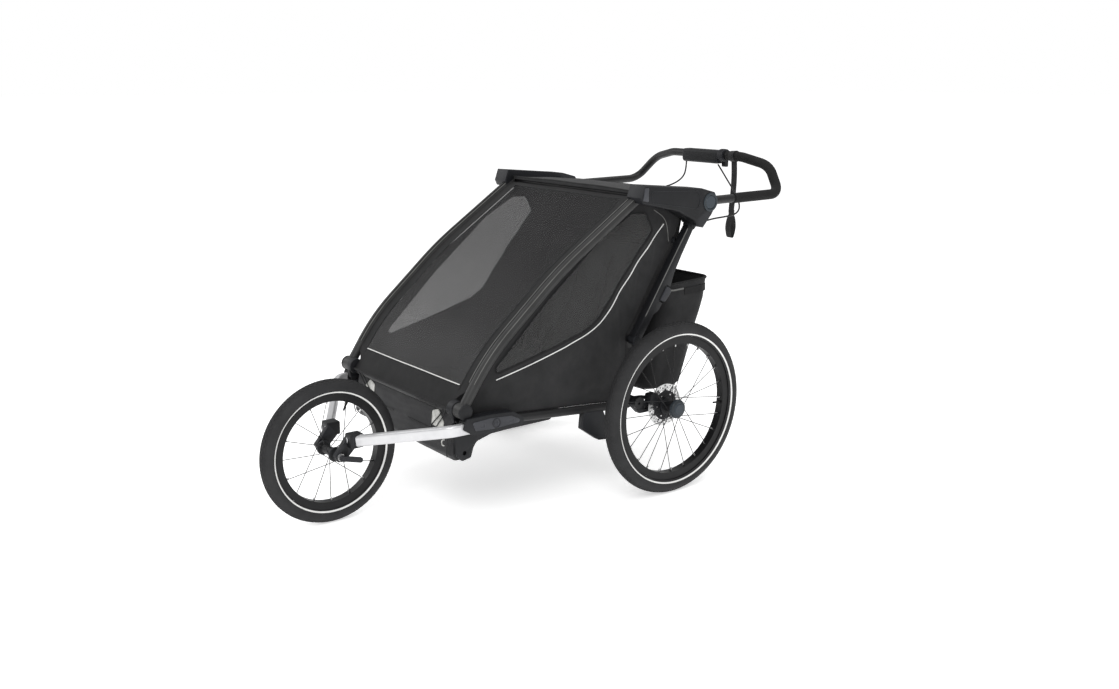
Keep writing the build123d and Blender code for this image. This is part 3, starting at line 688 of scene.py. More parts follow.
def softened(node: Any, name: str, finish: Finish, width: float = 1.2) -> Any:
    """A copy of a CAD node with rounded edges, which stands in its place.

    Args:
        node: the CAD node's object.
        name: the CAD node's name.
        finish: the material.
        width: width of the rounding, mm.
    Returns:
        The piece.
    """
    mesh = node.data.copy()
    tidy = bmesh.new()
    tidy.from_mesh(mesh)
    bmesh.ops.remove_doubles(tidy, verts=tidy.verts, dist=0.01 * MM)
    bmesh.ops.dissolve_limit(tidy, angle_limit=math.radians(2), verts=tidy.verts,
                             edges=tidy.edges)
    tidy.to_mesh(mesh)
    tidy.free()
    piece = finished(mesh, f"{name}_part", finish, 30)
    edge = piece.modifiers.new("edge", "BEVEL")
    edge.width = width * MM
    edge.segments = 2
    edge.limit_method = "ANGLE"
    edge.angle_limit = math.radians(32)
    frozen(piece, 30)
    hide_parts(name)
    return piece


# ---- what repeats -------------------------------------------------------------------
def group_tree(name: str, sizes: dict[str, tuple[str, Any]], geometry: bool) -> tuple:
    """A geometry tree with named inputs.

    Args:
        name: the tree's name.
        sizes: input name to its kind and default value.
        geometry: whether the tree reads the object's own mesh.
    Returns:
        The tree and its group input node.
    """
    tree = bpy.data.node_groups.new(name, "GeometryNodeTree")
    tree.interface.new_socket("Geometry", in_out="OUTPUT", socket_type="NodeSocketGeometry")
    if geometry:
        tree.interface.new_socket("Line", in_out="INPUT", socket_type="NodeSocketGeometry")
    for key, (kind, value) in sizes.items():
        item = tree.interface.new_socket(key, in_out="INPUT", socket_type=f"NodeSocket{kind}")
        if value is not None:
            item.default_value = value
    return tree, add_node(tree, "NodeGroupInput")


def close_tree(tree: Any, shown: Any, given: Any) -> Any:
    """Ends a tree in real geometry with its material.

    Args:
        tree: the geometry tree.
        shown: socket of the geometry.
        given: the tree's group input node.
    Returns:
        The tree.
    """
    solid = add_node(tree, "GeometryNodeRealizeInstances", {0: shown})
    dressed = add_node(tree, "GeometryNodeSetMaterial",
                       {0: solid.outputs[0], "Material": given.outputs["Material"]})
    add_node(tree, "NodeGroupOutput", {0: dressed.outputs[0]})
    return tree


def ring_tree() -> Any:
    """Blocks set round a ring about X, such as tread blocks, nipples and ribs.

    Returns:
        The geometry tree, made once.
    """
    known = bpy.data.node_groups.get("ring_of_blocks")
    if known:
        return known
    tree, given = group_tree("ring_of_blocks", {
        "Count": ("Int", 12), "Radius": ("Float", 0.1), "Shift": ("Float", 0.0),
        "Tilt": ("Float", 0.0), "Phase": ("Float", 0.0),
        "Size": ("Vector", (0.01, 0.01, 0.01)), "Material": ("Material", None)}, False)
    out = given.outputs
    number = add_node(tree, "GeometryNodeInputIndex").outputs[0]
    part = add_node(tree, "ShaderNodeMath", {0: number, 1: out["Count"]}, operation="DIVIDE")
    turn = add_node(tree, "ShaderNodeMath",
                    {0: part.outputs[0], 1: 2 * math.pi, 2: out["Phase"]},
                    operation="MULTIPLY_ADD").outputs[0]
    y = add_node(tree, "ShaderNodeMath", {0: turn}, operation="COSINE").outputs[0]
    z = add_node(tree, "ShaderNodeMath", {0: turn}, operation="SINE").outputs[0]
    y = add_node(tree, "ShaderNodeMath", {0: y, 1: out["Radius"]}, operation="MULTIPLY")
    z = add_node(tree, "ShaderNodeMath", {0: z, 1: out["Radius"]}, operation="MULTIPLY")
    place = add_node(tree, "ShaderNodeCombineXYZ",
                     {0: out["Shift"], 1: y.outputs[0], 2: z.outputs[0]})
    points = add_node(tree, "GeometryNodePoints",
                      {"Count": out["Count"], "Position": place.outputs[0]})
    lean = add_node(tree, "ShaderNodeMath", {0: turn, 1: math.pi / 2}, operation="SUBTRACT")
    aim = add_node(tree, "ShaderNodeCombineXYZ", {0: lean.outputs[0]})
    tilt = add_node(tree, "ShaderNodeCombineXYZ", {1: out["Tilt"]})
    block = add_node(tree, "GeometryNodeMeshCube", {"Size": out["Size"]})
    block = add_node(tree, "GeometryNodeTransform",
                     {0: block.outputs[0], "Rotation": tilt.outputs[0]})
    shown = add_node(tree, "GeometryNodeInstanceOnPoints",
                     {"Points": points.outputs[0], "Instance": block.outputs[0],
                      "Rotation": aim.outputs[0]})
    return close_tree(tree, shown.outputs[0], given)


def path_tree() -> Any:
    """Short rods set along a line, such as stitches.

    Returns:
        The geometry tree, made once.
    """
    known = bpy.data.node_groups.get("rods_along_line")
    if known:
        return known
    tree, given = group_tree("rods_along_line", {
        "Spacing": ("Float", 0.006), "Size": ("Vector", (0.004, 0.001, 0.001)),
        "Material": ("Material", None)}, True)
    out = given.outputs
    line = add_node(tree, "GeometryNodeMeshToCurve", {0: out["Line"]})
    evenly = add_node(tree, "GeometryNodeResampleCurve",
                      {0: line.outputs[0], "Length": out["Spacing"]}, mode="LENGTH")
    ahead = add_node(tree, "GeometryNodeInputTangent").outputs[0]
    aim = add_node(tree, "FunctionNodeAlignRotationToVector", {"Vector": ahead}, axis="X")
    rod = add_node(tree, "GeometryNodeMeshCube", {"Size": out["Size"]})
    shown = add_node(tree, "GeometryNodeInstanceOnPoints",
                     {"Points": evenly.outputs[0], "Instance": rod.outputs[0],
                      "Rotation": aim.outputs[0]})
    return close_tree(tree, shown.outputs[0], given)


def grown(tree: Any, values: dict[str, Any], finish: Finish,
          line: Sequence[Sequence[float]] = ()) -> Shape:
    """Runs a geometry tree and returns its result as a shape in millimetres.

    Args:
        tree: the geometry tree.
        values: the tree's named inputs, in metres and radians.
        finish: material handed to the tree.
        line: points of the line that the tree follows, mm.
    Returns:
        The real geometry.
    """
    mesh = bpy.data.meshes.new("seed")
    points = [tuple(c * MM for c in p) for p in line]
    mesh.from_pydata(points, [(i, i + 1) for i in range(len(points) - 1)], [])
    seed = bpy.data.objects.new("seed", mesh)
    bpy.context.collection.objects.link(seed)
    grow = seed.modifiers.new("grow", "NODES")
    grow.node_group = tree
    for item in tree.interface.items_tree:
        if item.in_out == "INPUT" and item.name in values:
            grow[item.identifier] = values[item.name]
        elif item.in_out == "INPUT" and item.name == "Material":
            grow[item.identifier] = finish.material()
    bpy.context.view_layer.update()
    ready = seed.evaluated_get(bpy.context.evaluated_depsgraph_get())
    made = bpy.data.meshes.new_from_object(ready)
    shape = Shape([tuple(c / MM for c in v.co) for v in made.vertices],
                  [tuple(face.vertices) for face in made.polygons])
    bpy.data.objects.remove(seed)
    bpy.data.meshes.remove(made)
    return shape


def ring(count: int, radius: float, size: Point, finish: Finish, shift: float = 0.0,
         tilt: float = 0.0, phase: float = 0.0) -> Shape:
    """Blocks round a ring about X, with sizes in millimetres and angles in radians.

    Args:
        count: number of blocks.
        radius: radius of the ring.
        size: a block's size along X, round the ring and outwards.
        finish: the material.
        shift: place of the ring along X.
        tilt: lean of each block towards X.
        phase: turn of the first block.
    Returns:
        The blocks.
    """
    return grown(ring_tree(), {"Count": count, "Radius": radius * MM, "Shift": shift * MM,
                               "Tilt": tilt, "Phase": phase,
                               "Size": tuple(s * MM for s in size)}, finish)


def stitches(line: Sequence[Sequence[float]], finish: Finish, spacing: float = 7.0,
             size: Point = (4.2, 0.9, 0.9)) -> Shape:
    """Stitches along a line, in millimetres."""
    return grown(path_tree(), {"Spacing": spacing * MM, "Size": tuple(s * MM for s in size)},
                 finish, line)


# ---- the frame ----------------------------------------------------------------------
@dataclass
class Trailer:
    """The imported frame, and the pieces built round it."""

    frame: dict

    def dress(self, finish: Finish, *names: str) -> None:
        """Gives CAD nodes their finish."""
        for name in names:
            for place in self.frame["nodes"][name].material_slots:
                place.material = finish.material()

    def soften(self, finish: Finish, body: str, name: str, width: float = 1.2) -> None:
        """Shows a CAD node with rounded edges, riding on its body."""
        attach(softened(self.frame["nodes"][name], name, finish, width), body)


def report(piece: Any, body: str = "", *nodes: str) -> Any:
    """Rides a piece on a body, in place of CAD nodes, and logs it.

    Args:
        piece: the object.
        body: the body's name, or none.
        nodes: names of the CAD nodes that it replaces.
    Returns:
        The same object.
    """
    if body:
        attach(piece, body)
    if nodes:
        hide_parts(*nodes)
    LOG.info("%s: %d faces", piece.name, len(piece.data.polygons))
    return piece


# Fold hinge and the line that the front pillars follow, in (y, z).
PILLAR_PATH = [(-375.0, 341.0), (-290.0, 470.0), (-60.0, 668.0), (218.0, 851.5)]
PILLAR_BENDS = [600.0, 1100.0]
OUTWARDS = (-0.62, 0.78)
# Centres of the left rear hub and of the front hub.
REAR_HUB = (375.0, 295.0, 250.0)
FRONT_HUB = (0.0, -602.0, 198.0)
# Side rail: (y, z) where it starts at the front, its fall to the rear, and how far
# above its centre line the welt lies.
RAIL_START = (-388.0, 302.0)
RAIL_FALL = 0.0777
RAIL_WELT = 13.15


def pillar_line(lift: float, step: float = 14.0) -> list[Vector]:
    """The pillar's centre line in (y, z), moved outwards.

    Args:
        lift: how far it is moved.
        step: greatest length of a run.
    Returns:
        The points of the line.
    """
    moved = [(y + OUTWARDS[0] * lift, z + OUTWARDS[1] * lift) for y, z in PILLAR_PATH]
    return divided(rounded(moved, PILLAR_BENDS), step)


def with_x(x: float, line: Sequence[Sequence[float]]) -> list[Point]:
    """A (y, z) line as points at one x."""
    return [(x, p[0], p[1]) for p in line]


def crossing_fold(piece: Any) -> Any:
    """Bakes a cloth piece's placement into its mesh; the cloth is not bent."""
    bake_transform(piece)
    return piece


# ---- soft goods ---------------------------------------------------------------------
@dataclass
class SidePanels:
    """Side fabric with its window film, white piping and stitched hems."""

    x: float = 278.5
    crown: float = 3.0
    wall: float = 1.2
    outline: tuple = ((-338.0, 385.0), (-272.0, 466.0), (-50.0, 657.0), (212.0, 829.0),
                      (388.0, 820.0), (386.0, 760.0), (280.0, 598.0), (222.0, 500.0),
                      (192.0, 462.0), (192.0, 292.0), (184.0, 269.6), (150.0, 271.4),
                      (-318.0, 308.0), (-342.0, 345.0))
    window: tuple = ((-262.0, 428.0), (-86.0, 594.0), (101.0, 747.0), (204.0, 802.0),
                     (256.0, 801.0), (284.0, 750.0), (186.0, 640.0), (91.0, 520.0),
                     (45.0, 492.0), (-68.0, 460.0), (-250.0, 416.0))
    piping: tuple = ((322, 764), (304, 744), (238, 674), (172, 596), (133, 545), (106, 515),
                     (83, 499), (45, 480), (-1, 465), (-42, 452), (-153, 423), (-256, 400))
    gusset_front: tuple = ((193.0, 294.0), (193.0, 462.0), (223.0, 500.0), (281.0, 598.0),
                           (385.0, 758.0), (387.0, 816.0))
    gusset_rear: tuple = ((226.0, 294.0), (262.0, 452.0), (312.0, 520.0), (352.0, 578.0),
                          (402.0, 768.0), (415.0, 824.0))
    welt: tuple = ((288.0, 806.0), (318.0, 786.0), (334.0, 762.0), (347.0, 712.0))

    def depth(self, y: float, z: float, edge: float) -> float:
        """How far the cloth stands out: crowned, with soft folds at the rear.

        Args:
            y: place along the trailer.
            z: height.
            edge: distance to the cloth's edge.
        Returns:
            The place across the trailer.
        """
        rise = self.crown * min(1.0, edge / 60.0)
        fold = 1.6 * math.sin(y / 13.0 + z / 55.0) * min(1.0, max(0.0, (y - 20) / 160))
        slack = 0.8 * math.sin(y / 41.0 - z / 29.0)
        return self.x + rise + (fold + slack) * min(1.0, edge / 30.0)

    def surface(self, points: Sequence[Sequence[float]], lift: float) -> list[Point]:
        """Points on the cloth's outer face, lifted off it.

        Args:
            points: the (y, z) points.
            lift: how far they lie off the cloth.
        Returns:
            The points in space.
        """
        spots = np.array([(p[0], p[1]) for p in points], float)
        edge = reach_to(spots, self.outline)
        return [(self.depth(y, z, e) + lift, y, z) for (y, z), e in zip(spots, edge)]

    def cut(self) -> tuple[Shape, Shape]:
        """The cloth and the window film of one side, on one common net.

        Returns:
            The cloth, and the film.
        """
        outer = loop_of(self.outline, 9.0, 11.0)
        inner = loop_of(self.window, 12.0, 9.0)
        spots = [Vector(p) for p in outer + inner]
        edges = [(i, (i + 1) % len(outer)) for i in range(len(outer))]
        edges += [(len(outer) + i, len(outer) + (i + 1) % len(inner))
                  for i in range(len(inner))]
        mesh = [(y, z) for y in np.arange(-336, 388, 12.0) for z in np.arange(276, 830, 12.0)]
        near = np.minimum(reach_to(np.array(mesh), outer), reach_to(np.array(mesh), inner))
        spots += [Vector(p) for p, gap in zip(mesh, near) if gap > 6 and inside(p, outer)]
        flat, _, faces, *_ = delaunay_2d_cdt(spots, edges, [], 1, 1e-4)
        placed = self.surface(flat, 0.0)
        cloth, film = Shape(placed), Shape(placed)
        for face in faces:
            middle = sum((flat[i] for i in face), Vector((0, 0))) / len(face)
            if inside(middle, inner):
                film.faces.append(tuple(face))
            elif inside(middle, outer):
                cloth.faces.append(tuple(face))
        return cloth, film

    def build(self) -> None:
        """Makes both sides."""
        cloth, film = self.cut()
        border = loop_of(self.window, 12.0, 9.0)
        border.append(border[0])
        welt_line = self.surface(flowing(self.welt), 1.0)
        piping_line = self.surface(flowing(self.piping, 6), 1.6)
        hem = self.surface(border, 0.9)
        white = sweep(piping_line, circle(1.5, 8))
        seams = (sweep(hem[:-1], slab(5.5, 1.2), closed=True, side=(0, 1, 0))
                 + stitches(self.surface(border, 1.7), HEM))
        grey = sweep(welt_line, circle(1.2, 6))
        rail = [(278.8, y, RAIL_START[1] - RAIL_FALL * (y - RAIL_START[0]) + RAIL_WELT)
                for y in np.linspace(-318, 186, 40)]
        seams = seams + sweep(rail, circle(2.0, 8))
        films = Shape()
        for hand, side in ((1, "left"), (-1, "right")):
            panel = thicken(clean(cloth.on(hand)).piece(f"side_cloth_{side}", CANOPY,
                                                        False), self.wall)
            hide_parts(f"side_panel_{side}")
            crossing_fold(panel)
            films = films + film.on(hand)
            for name, shape, finish in (("piping", white, PIPING), ("hem", seams, HEM),
                                        ("welt", grey, SEAM)):
                crossing_fold(report(shape.on(hand).piece(f"side_{name}_{side}", finish)))
            LOG.info("side panel %s", side)
        self.gussets()
        windows = clean(films).piece("window_film", FILM, False)
        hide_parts("side_windows")
        crossing_fold(report(windows))

    def gussets(self) -> None:
        """Cloth that closes the cabin behind the side panels, in front of the basket."""
        front = divided([Vector(p) for p in self.gusset_front], 8.0)
        rear = divided([Vector(p) for p in self.gusset_rear], 8.0)

        def along(line: list, share: float) -> Vector:
            """Point at a share of a line."""
            spot = share * (len(line) - 1)
            i = min(int(spot), len(line) - 2)
            return line[i].lerp(line[i + 1], spot - i)

        def wall(u: float, v: float) -> Point:
            """Point on the gusset's side."""
            spot = along(front, v).lerp(along(rear, v), u)
            pull = 3.0 * math.sin(math.pi * u) + 1.2 * math.sin(spot[1] / 17.0)
            return (276.6 - 2.5 * u - pull * min(1.0, 6 * u), spot[0], spot[1])

        def rear_strip(u: float, v: float) -> Point:
            """Point on the strip that turns inwards at the rear."""
            spot = along(rear[:round(len(rear) * 0.58)], v)
            return (274.0 - 44.0 * u, spot[0] + 2.0 * math.sin(math.pi * u), spot[1])

        side = grid(wall, 10, 60)
        strip = grid(rear_strip, 5, 40)
        both = side + side.mirrored() + strip + strip.mirrored()
        report(crossing_fold(thicken(both.piece("cabin_gussets", HEM, False), 1.0)))


def clean(shape: Shape) -> Shape:
    """The shape without points that no face uses.

    Args:
        shape: the shape.
    Returns:
        A shape with only the points it needs.
    """
    used = sorted({i for face in shape.faces for i in face})
    place = {old: new for new, old in enumerate(used)}
    return Shape([shape.points[i] for i in used],
                 [tuple(place[i] for i in face) for face in shape.faces])


@dataclass
class FrontCover:
    """Tinted front cover with its dark borders, seams and reflective hem."""

    half: float = 284.4
    hem_half: float = 257.0
    band: float = 34.0
    lift: float = 3.4
    hem_z: float = 386.0

    def half_at(self, z: float) -> float:
        """Half width at a height: narrower between the corner joints."""
        share = min(1.0, max(0.0, (z - 366.0) / 20.0))
        return self.hem_half + (self.half - self.hem_half) * share

    def line(self) -> list[Vector]:
        """Side profile, from the lower hem up to the roof."""
        upper = pillar_line(self.lift)
        return [Vector((-385.0, 336.5))] + [p for p in upper if p[0] < 213.0]

    def point(self, line: Sequence[Vector], share: float, x: float) -> Point:
        """Point on the cover, slightly slack between the pillars.

        Args:
            line: the cover's side profile.
            share: share of the way along it.
            x: place across the trailer.
        Returns:
            The point in space.
        """
        spot = share * (len(line) - 1)
        i = min(int(spot), len(line) - 2)
        y, z = line[i].lerp(line[i + 1], spot - i)
        slack = 3.0 * math.cos(x / self.half * math.pi / 2) * math.sin(share * math.pi)
        ripple = 0.7 * math.sin(x / 47.0 + z / 60.0) * math.cos(x / self.half * math.pi / 2)
        drop = slack - ripple
        return (x, y - OUTWARDS[0] * drop, z - OUTWARDS[1] * drop)

    def build(self) -> None:
        """Makes the cover's film, borders, seams and hem line."""
        line = self.line()
        rows = len(line) - 1
        sheet = grid(lambda u, v: self.point(line, v, (2 * u - 1) * self.half_at(
            line[min(rows, round(v * rows))][1])), 64, rows)
        film, border = Shape(sheet.points), Shape(sheet.points)
        for face in sheet.faces:
            middle = sum((Vector(sheet.points[i]) for i in face), Vector()) / 4
            edge = self.half - abs(middle.x)
            clear = edge > self.band and middle.z > self.hem_z + 6 and middle.y < 190
            (film if clear else border).faces.append(face)
        report(thicken(clean(border).piece("cover_border", HEM, False), 1.0),
               "upper_frame", "front_cover")
        clear = report(thicken(clean(film).piece("cover_film", COVER_FILM, False), 0.6),
                       "upper_frame")
        share = next(i for i, p in enumerate(line) if p[1] > self.hem_z) / rows
        hem = [self.raised(self.point(line, share, x), 1.8) for x in range(-244, 245, 8)]
        report(sweep(hem, slab(3.4, 1.4), side=(0, 1, 0)).piece("cover_hem_line", PIPING),
               "upper_frame")
        low = [self.raised(self.point(line, 0.0, x), 0.8) for x in range(-256, 257, 8)]
        report(sweep(low, circle(3.2, 8)).piece("cover_elastic_hem", HEM), "upper_frame")
        seams = Shape()
        for x in (-self.half + self.band, self.half - self.band):
            run = [self.raised(self.point(line, i / rows, x), 0.9)
                   for i in range(5, rows - 2)]
            seams = seams + sweep(run, slab(3.0, 0.9)) + stitches(run, HEM)
        report(seams.piece("cover_seams", HEM), "upper_frame")

    @staticmethod
    def raised(point: Point, lift: float) -> Point:
        """The point lifted off the cover's outer face."""
        return (point[0], point[1] + OUTWARDS[0] * lift, point[2] + OUTWARDS[1] * lift)


@dataclass
class Roof:
    """Domed roof cloth between the two bows, and the welts beside it."""

    front: Pair = (213.5, 861.6)
    rear: Pair = (412.0, 847.4)
    half: float = 285.0
    dome: float = 9.0

    def point(self, u: float, v: float) -> Point:
        """Point on the roof.

        Args:
            u: share across.
            v: share from front to rear.
        Returns:
            The point in space.
        """
        x = (2 * u - 1) * self.half
        y = self.front[0] + (self.rear[0] - self.front[0]) * v
        z = self.front[1] + (self.rear[1] - self.front[1]) * v
        rise = self.dome * (1 - (x / self.half) ** 2) * (0.35 + 0.65 * math.sin(math.pi * v))
        return (x, y, z + rise + 0.5 * math.sin(x / 33.0 + y / 21.0))

    def fascia(self, u: float, v: float) -> Point:
        """Point on the strip between the roof's front edge and the cover."""
        x, y, z = self.point(u, 0.0)
        return (x * 0.995, y - 1.6 + 1.2 * v, z - 1.0 - (z - 856.2) * v)

    def build(self) -> None:
        """Makes the roof cloth, the strip in front of it and its welts."""
        cloth = thicken(grid(self.point, 48, 20).piece("roof_cloth", CANOPY, False), 1.4)
        report(cloth, "upper_frame", "roof_panel")
        fascia = grid(lambda u, v: self.fascia(u, v), 48, 3)
        report(thicken(fascia.piece("roof_fascia", CANOPY, False), 0.8), "upper_frame")
        edges = Shape()
        for v, size in ((0.0, 2.6), (1.0, 2.2)):
            run = [self.point(i / 40, v) for i in range(41)]
            edges = edges + sweep(run, circle(size, 8), side=(0, 1, 0))
        report(edges.piece("roof_welts", HEM), "upper_frame")


@dataclass
class Pillars:
    """Light seams and dark channels that trim the front pillars."""

    def build(self) -> None:
        """Makes the light seam and the dark channels along both pillars."""
        light, dark = Shape(), Shape()
        spans = [p for p in pillar_line(0.0) if 395 < p[1] < 838]
        for side in (-1, 1):
            for x, lift, radius, light_one in ((287.5, 12.0, 1.3, True),
                                               (308.5, 10.2, 0.9, True),
                                               (293.0, 13.0, 1.6, False)):
                run = [(side * x, p[0] + OUTWARDS[0] * lift, p[1] + OUTWARDS[1] * lift)
                       for p in spans]
                tube = sweep(run, circle(radius, 6))
                if light_one:
                    light = light + tube
                else:
                    dark = dark + tube
        report(light.piece("pillar_seams", SEAM), "upper_frame")
        report(dark.piece("pillar_channels", HEM), "upper_frame")


@dataclass
class BackPanel:
    """Rear cloth of the cabin, from the rear bow down to the basket."""

    low: Pair = (349.0, 568.0)
    top: Pair = (419.5, 839.0)
    half: float = 273.0

    def point(self, u: float, v: float) -> Point:
        """Point on the panel.

        Args:
            u: share across.
            v: share from bottom to top.
        Returns:
            The point in space.
        """
        x = (2 * u - 1) * self.half
        y = self.low[0] + (self.top[0] - self.low[0]) * v
        z = self.low[1] + (self.top[1] - self.low[1]) * v
        belly = 4.0 * math.sin(math.pi * v) * math.cos(x / self.half * math.pi / 2)
        crease = 1.4 * math.sin(x / 23.0) * (1 - v)
        return (x, y + belly + crease, z)

    def build(self) -> None:
        """Makes the panel and its two zips."""
        panel = thicken(grid(self.point, 48, 30).piece("back_cloth", CANOPY, False), 1.4)
        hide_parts("back_panel")
        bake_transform(panel)
        rows = Shape()
        for v in (0.16, 0.78):
            run = [self.point(i / 40, v) for i in range(2, 39)]
            run = [(x, y + 1.6, z) for x, y, z in run]
            rows = rows + sweep(run, slab(7.0, 1.4), side=(0, 0, 1))
            rows = rows + stitches([(x, y + 0.9, z) for x, y, z in run], SEAM, 4.0,
                                   (1.8, 1.2, 3.4))
        rows = rows.piece("back_zips", HEM)
        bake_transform(report(rows))


@dataclass
class Basket:
    """Cloth cargo basket: a sagging shell with a bound rim and two side straps."""

    front: tuple = ((271.0, 296.0), (420.0, 322.0), (567.0, 349.0), (576.0, 351.0))
    rear: tuple = ((271.0, 449.0), (381.0, 485.0), (448.0, 505.0), (519.0, 528.0),
                   (567.0, 534.0), (576.0, 535.0))
    half: float = 258.0
    corner: float = 34.0
    floor_z: float = 271.0
    rim_z: float = 576.0

    def ring(self, z: float, shrink: float = 0.0) -> list[Point]:
        """Rounded outline of the basket at a height.

        Args:
            z: the height.
            shrink: how far it is drawn in.
        Returns:
            The outline's points.
        """
        y0 = float(np.interp(z, *zip(*self.front))) + shrink
        y1 = float(np.interp(z, *zip(*self.rear))) - shrink
        share = (z - self.floor_z) / (self.rim_z - self.floor_z)
        belly = 3.5 * math.sin(math.pi * min(1.0, share))
        points = []
        for a, b in spaced(slab(2 * (self.half - shrink), y1 - y0, self.corner, 6), 108):
            wave = 1.4 * math.sin(a / 19.0 + z / 37.0) + 1.2 * math.sin(b / 15.0 - z / 60.0)
            grow = 1 + (belly + wave * min(1.0, (self.rim_z - z) / 120)) / 260 - 3.5 / 260
            rise = share ** 2 * max(0.0, b / (y1 - y0) + 0.5)
            points.append((a * grow, (y0 + y1) / 2 + b * min(grow, 1.0) + 17 * rise,
                           z + 9 * rise))
        return points

    def build(self) -> None:
        """Makes the shell, its floor and its rim."""
        heights = [271.0, 273.0, 279.0, 290.0] + list(np.arange(305.0, 575.0, 13.5)) + [576.0]
        rings = [self.ring(271.0, 24.0), self.ring(271.3, 8.0)]
        rings += [self.ring(z, max(0.0, 5.0 - (z - 271) * 0.6)) for z in heights]
        shell = loft(rings, capped=False)
        shell.faces.append(tuple(reversed(range(len(rings[0])))))
        bag = thicken(shell.piece("basket_cloth", CANOPY), 2.2, -1.0)
        report(bag, "", "basket")
        band = [(x * 1.006, y + (1.6 if y > 500 else 0), z)
                for x, y, z in self.ring(549.0) if y > 440]
        band.sort(key=lambda p: math.atan2(p[0], p[1] - 440))
        trims = sweep(self.ring(576.0), circle(3.6, 8), closed=True) \
            + sweep(band, slab(1.6, 20.0), side=(1, 0, 0))
        trims = trims.piece("basket_rim", HEM)
        cords = Shape()
        for side in (-1, 1):
            cords = cords + sweep([(side * 262.5, 349.5, 566.0), (side * 264, 390, 562.0),
                                   (side * 264.5, 430.0, 563.5)], slab(1.6, 5.0),
                                  side=(1, 0, 0))
        cords = cords.piece("basket_straps", SEAM)
        for piece in (bag, report(trims), report(cords)):
            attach(piece, "chassis")
            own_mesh(piece)


@dataclass
class FloorTub:
    """Footwell and floor cloth, with its reflectors, elastic loops and drain cord."""

    half: float = 261.5
    outline: tuple = ((-368.0, 340.0), (-386.0, 212.0), (-372.0, 194.5), (-336.0, 194.5),
                      (-310.0, 234.5), (-262.0, 246.5), (-52.5, 250.5), (-52.5, 282.5))

    def build(self) -> None:
        """Makes the tub and what is sewn to it."""
        profile = divided(rounded(self.outline, [8, 8, 12, 16, 30, 8], 6.0), 14.0)
        rings = []
        stations = [-1.0, -0.996, -0.985, -0.965] + list(np.linspace(-0.93, 0.93, 38)) \
            + [0.965, 0.985, 0.996, 1.0]
        middle = Vector((-200.0, 290.0))
        for share in stations:
            x = share * self.half
            pull = max(0.0, (abs(share) - 0.965) / 0.035) ** 2 * 5.0
            ring_points = []
            for i, p in enumerate(profile):
                inward = (middle - Vector(p)).normalized()
                wave = 1.3 * math.sin(x / 37.0 + i * 0.5) * (1 - abs(share))
                spot = Vector(p) + inward * (pull + max(0.0, wave))
                ring_points.append((x, spot[0], spot[1]))
            rings.append(ring_points)
        strip = Shape([p for r in rings for p in r])
        count = len(profile)
        for i in range(len(rings) - 1):
            for k in range(count - 1):
                strip.faces.append((i * count + k, i * count + k + 1,
                                    (i + 1) * count + k + 1, (i + 1) * count + k))
        ends = [tuple(range(count)), tuple(range((len(rings) - 1) * count, len(rings) * count))]
        strip.faces += [ends[0], tuple(reversed(ends[1]))]
        tub = strip.piece("footwell_cloth", FOOTWELL)
        net = bmesh.new()
        net.from_mesh(tub.data)
        bmesh.ops.triangulate(net, faces=[f for f in net.faces if len(f.verts) > 4])
        net.to_mesh(tub.data)
        net.free()
        thicken(tub, 2.0, -1.0)
        report(tub, "chassis", "floor_tub")
        self.trims()

    def front_point(self, x: float, z: float, lift: float = 1.2) -> Point:
        """Point just off the tub's sloping front."""
        share = (z - 212.0) / (340.0 - 212.0)
        return (x, -386.0 + 18.0 * share - lift, z)

    def trims(self) -> None:
        """Reflective patches, elastic loops, seams and the drain cord with its hook."""
        white, dark, cord = Shape(), Shape(), Shape()
        for side in (-1, 1):
            corners = [(156, 309), (183, 318), (214, 290), (214, 276), (198, 271), (158, 272)]
            outline = loop_of(corners, 5.0, 8.0)
            face = [self.front_point(side * x, z, 2.0) for x, z in outline]
            back = [self.front_point(side * x, z, 0.4) for x, z in outline]
            white = white + loft([back, face])
            loop = [self.front_point(side * x, z, lift) for x, z, lift in
                    ((221, 334, 12), (196, 306, 5), (166, 276, 4.2), (163, 262, 4.2),
                     (176, 262, 4.2), (206, 298, 5), (236, 333, 12))]
            dark = dark + sweep(flowing(loop, 6), circle(1.5, 8))
            hem = [self.front_point(side * x, z, 1.4) for x, z in
                   ((40, 262.0), (150, 261.0), (255, 262.0))]
            dark = dark + sweep(divided([Vector(p) for p in hem], 15), circle(1.2, 6))
            drop = [(side * 259.0, -391.0, 268.0), (side * 256.0, -393.0, 246.0),
                    (side * 251.0, -392.0, 222.0), (side * 247.0, -389.0, 206.0)]
            cord = cord + sweep(flowing(drop, 6), circle(1.6, 8))
            hook = [(side * 240.0, -391.0, 252.0), (side * 233.0, -393.0, 250.0),
                    (side * 229.0, -393.0, 243.0), (side * 232.0, -393.0, 236.0),
                    (side * 239.0, -392.0, 236.0)]
            white = white + sweep(flowing(hook, 6), circle(1.6, 8))
        report(white.piece("footwell_reflectors", PATCH), "chassis")
        report(dark.piece("footwell_loops", WEBBING), "chassis")
        report(cord.piece("footwell_cord", WEBBING), "chassis")


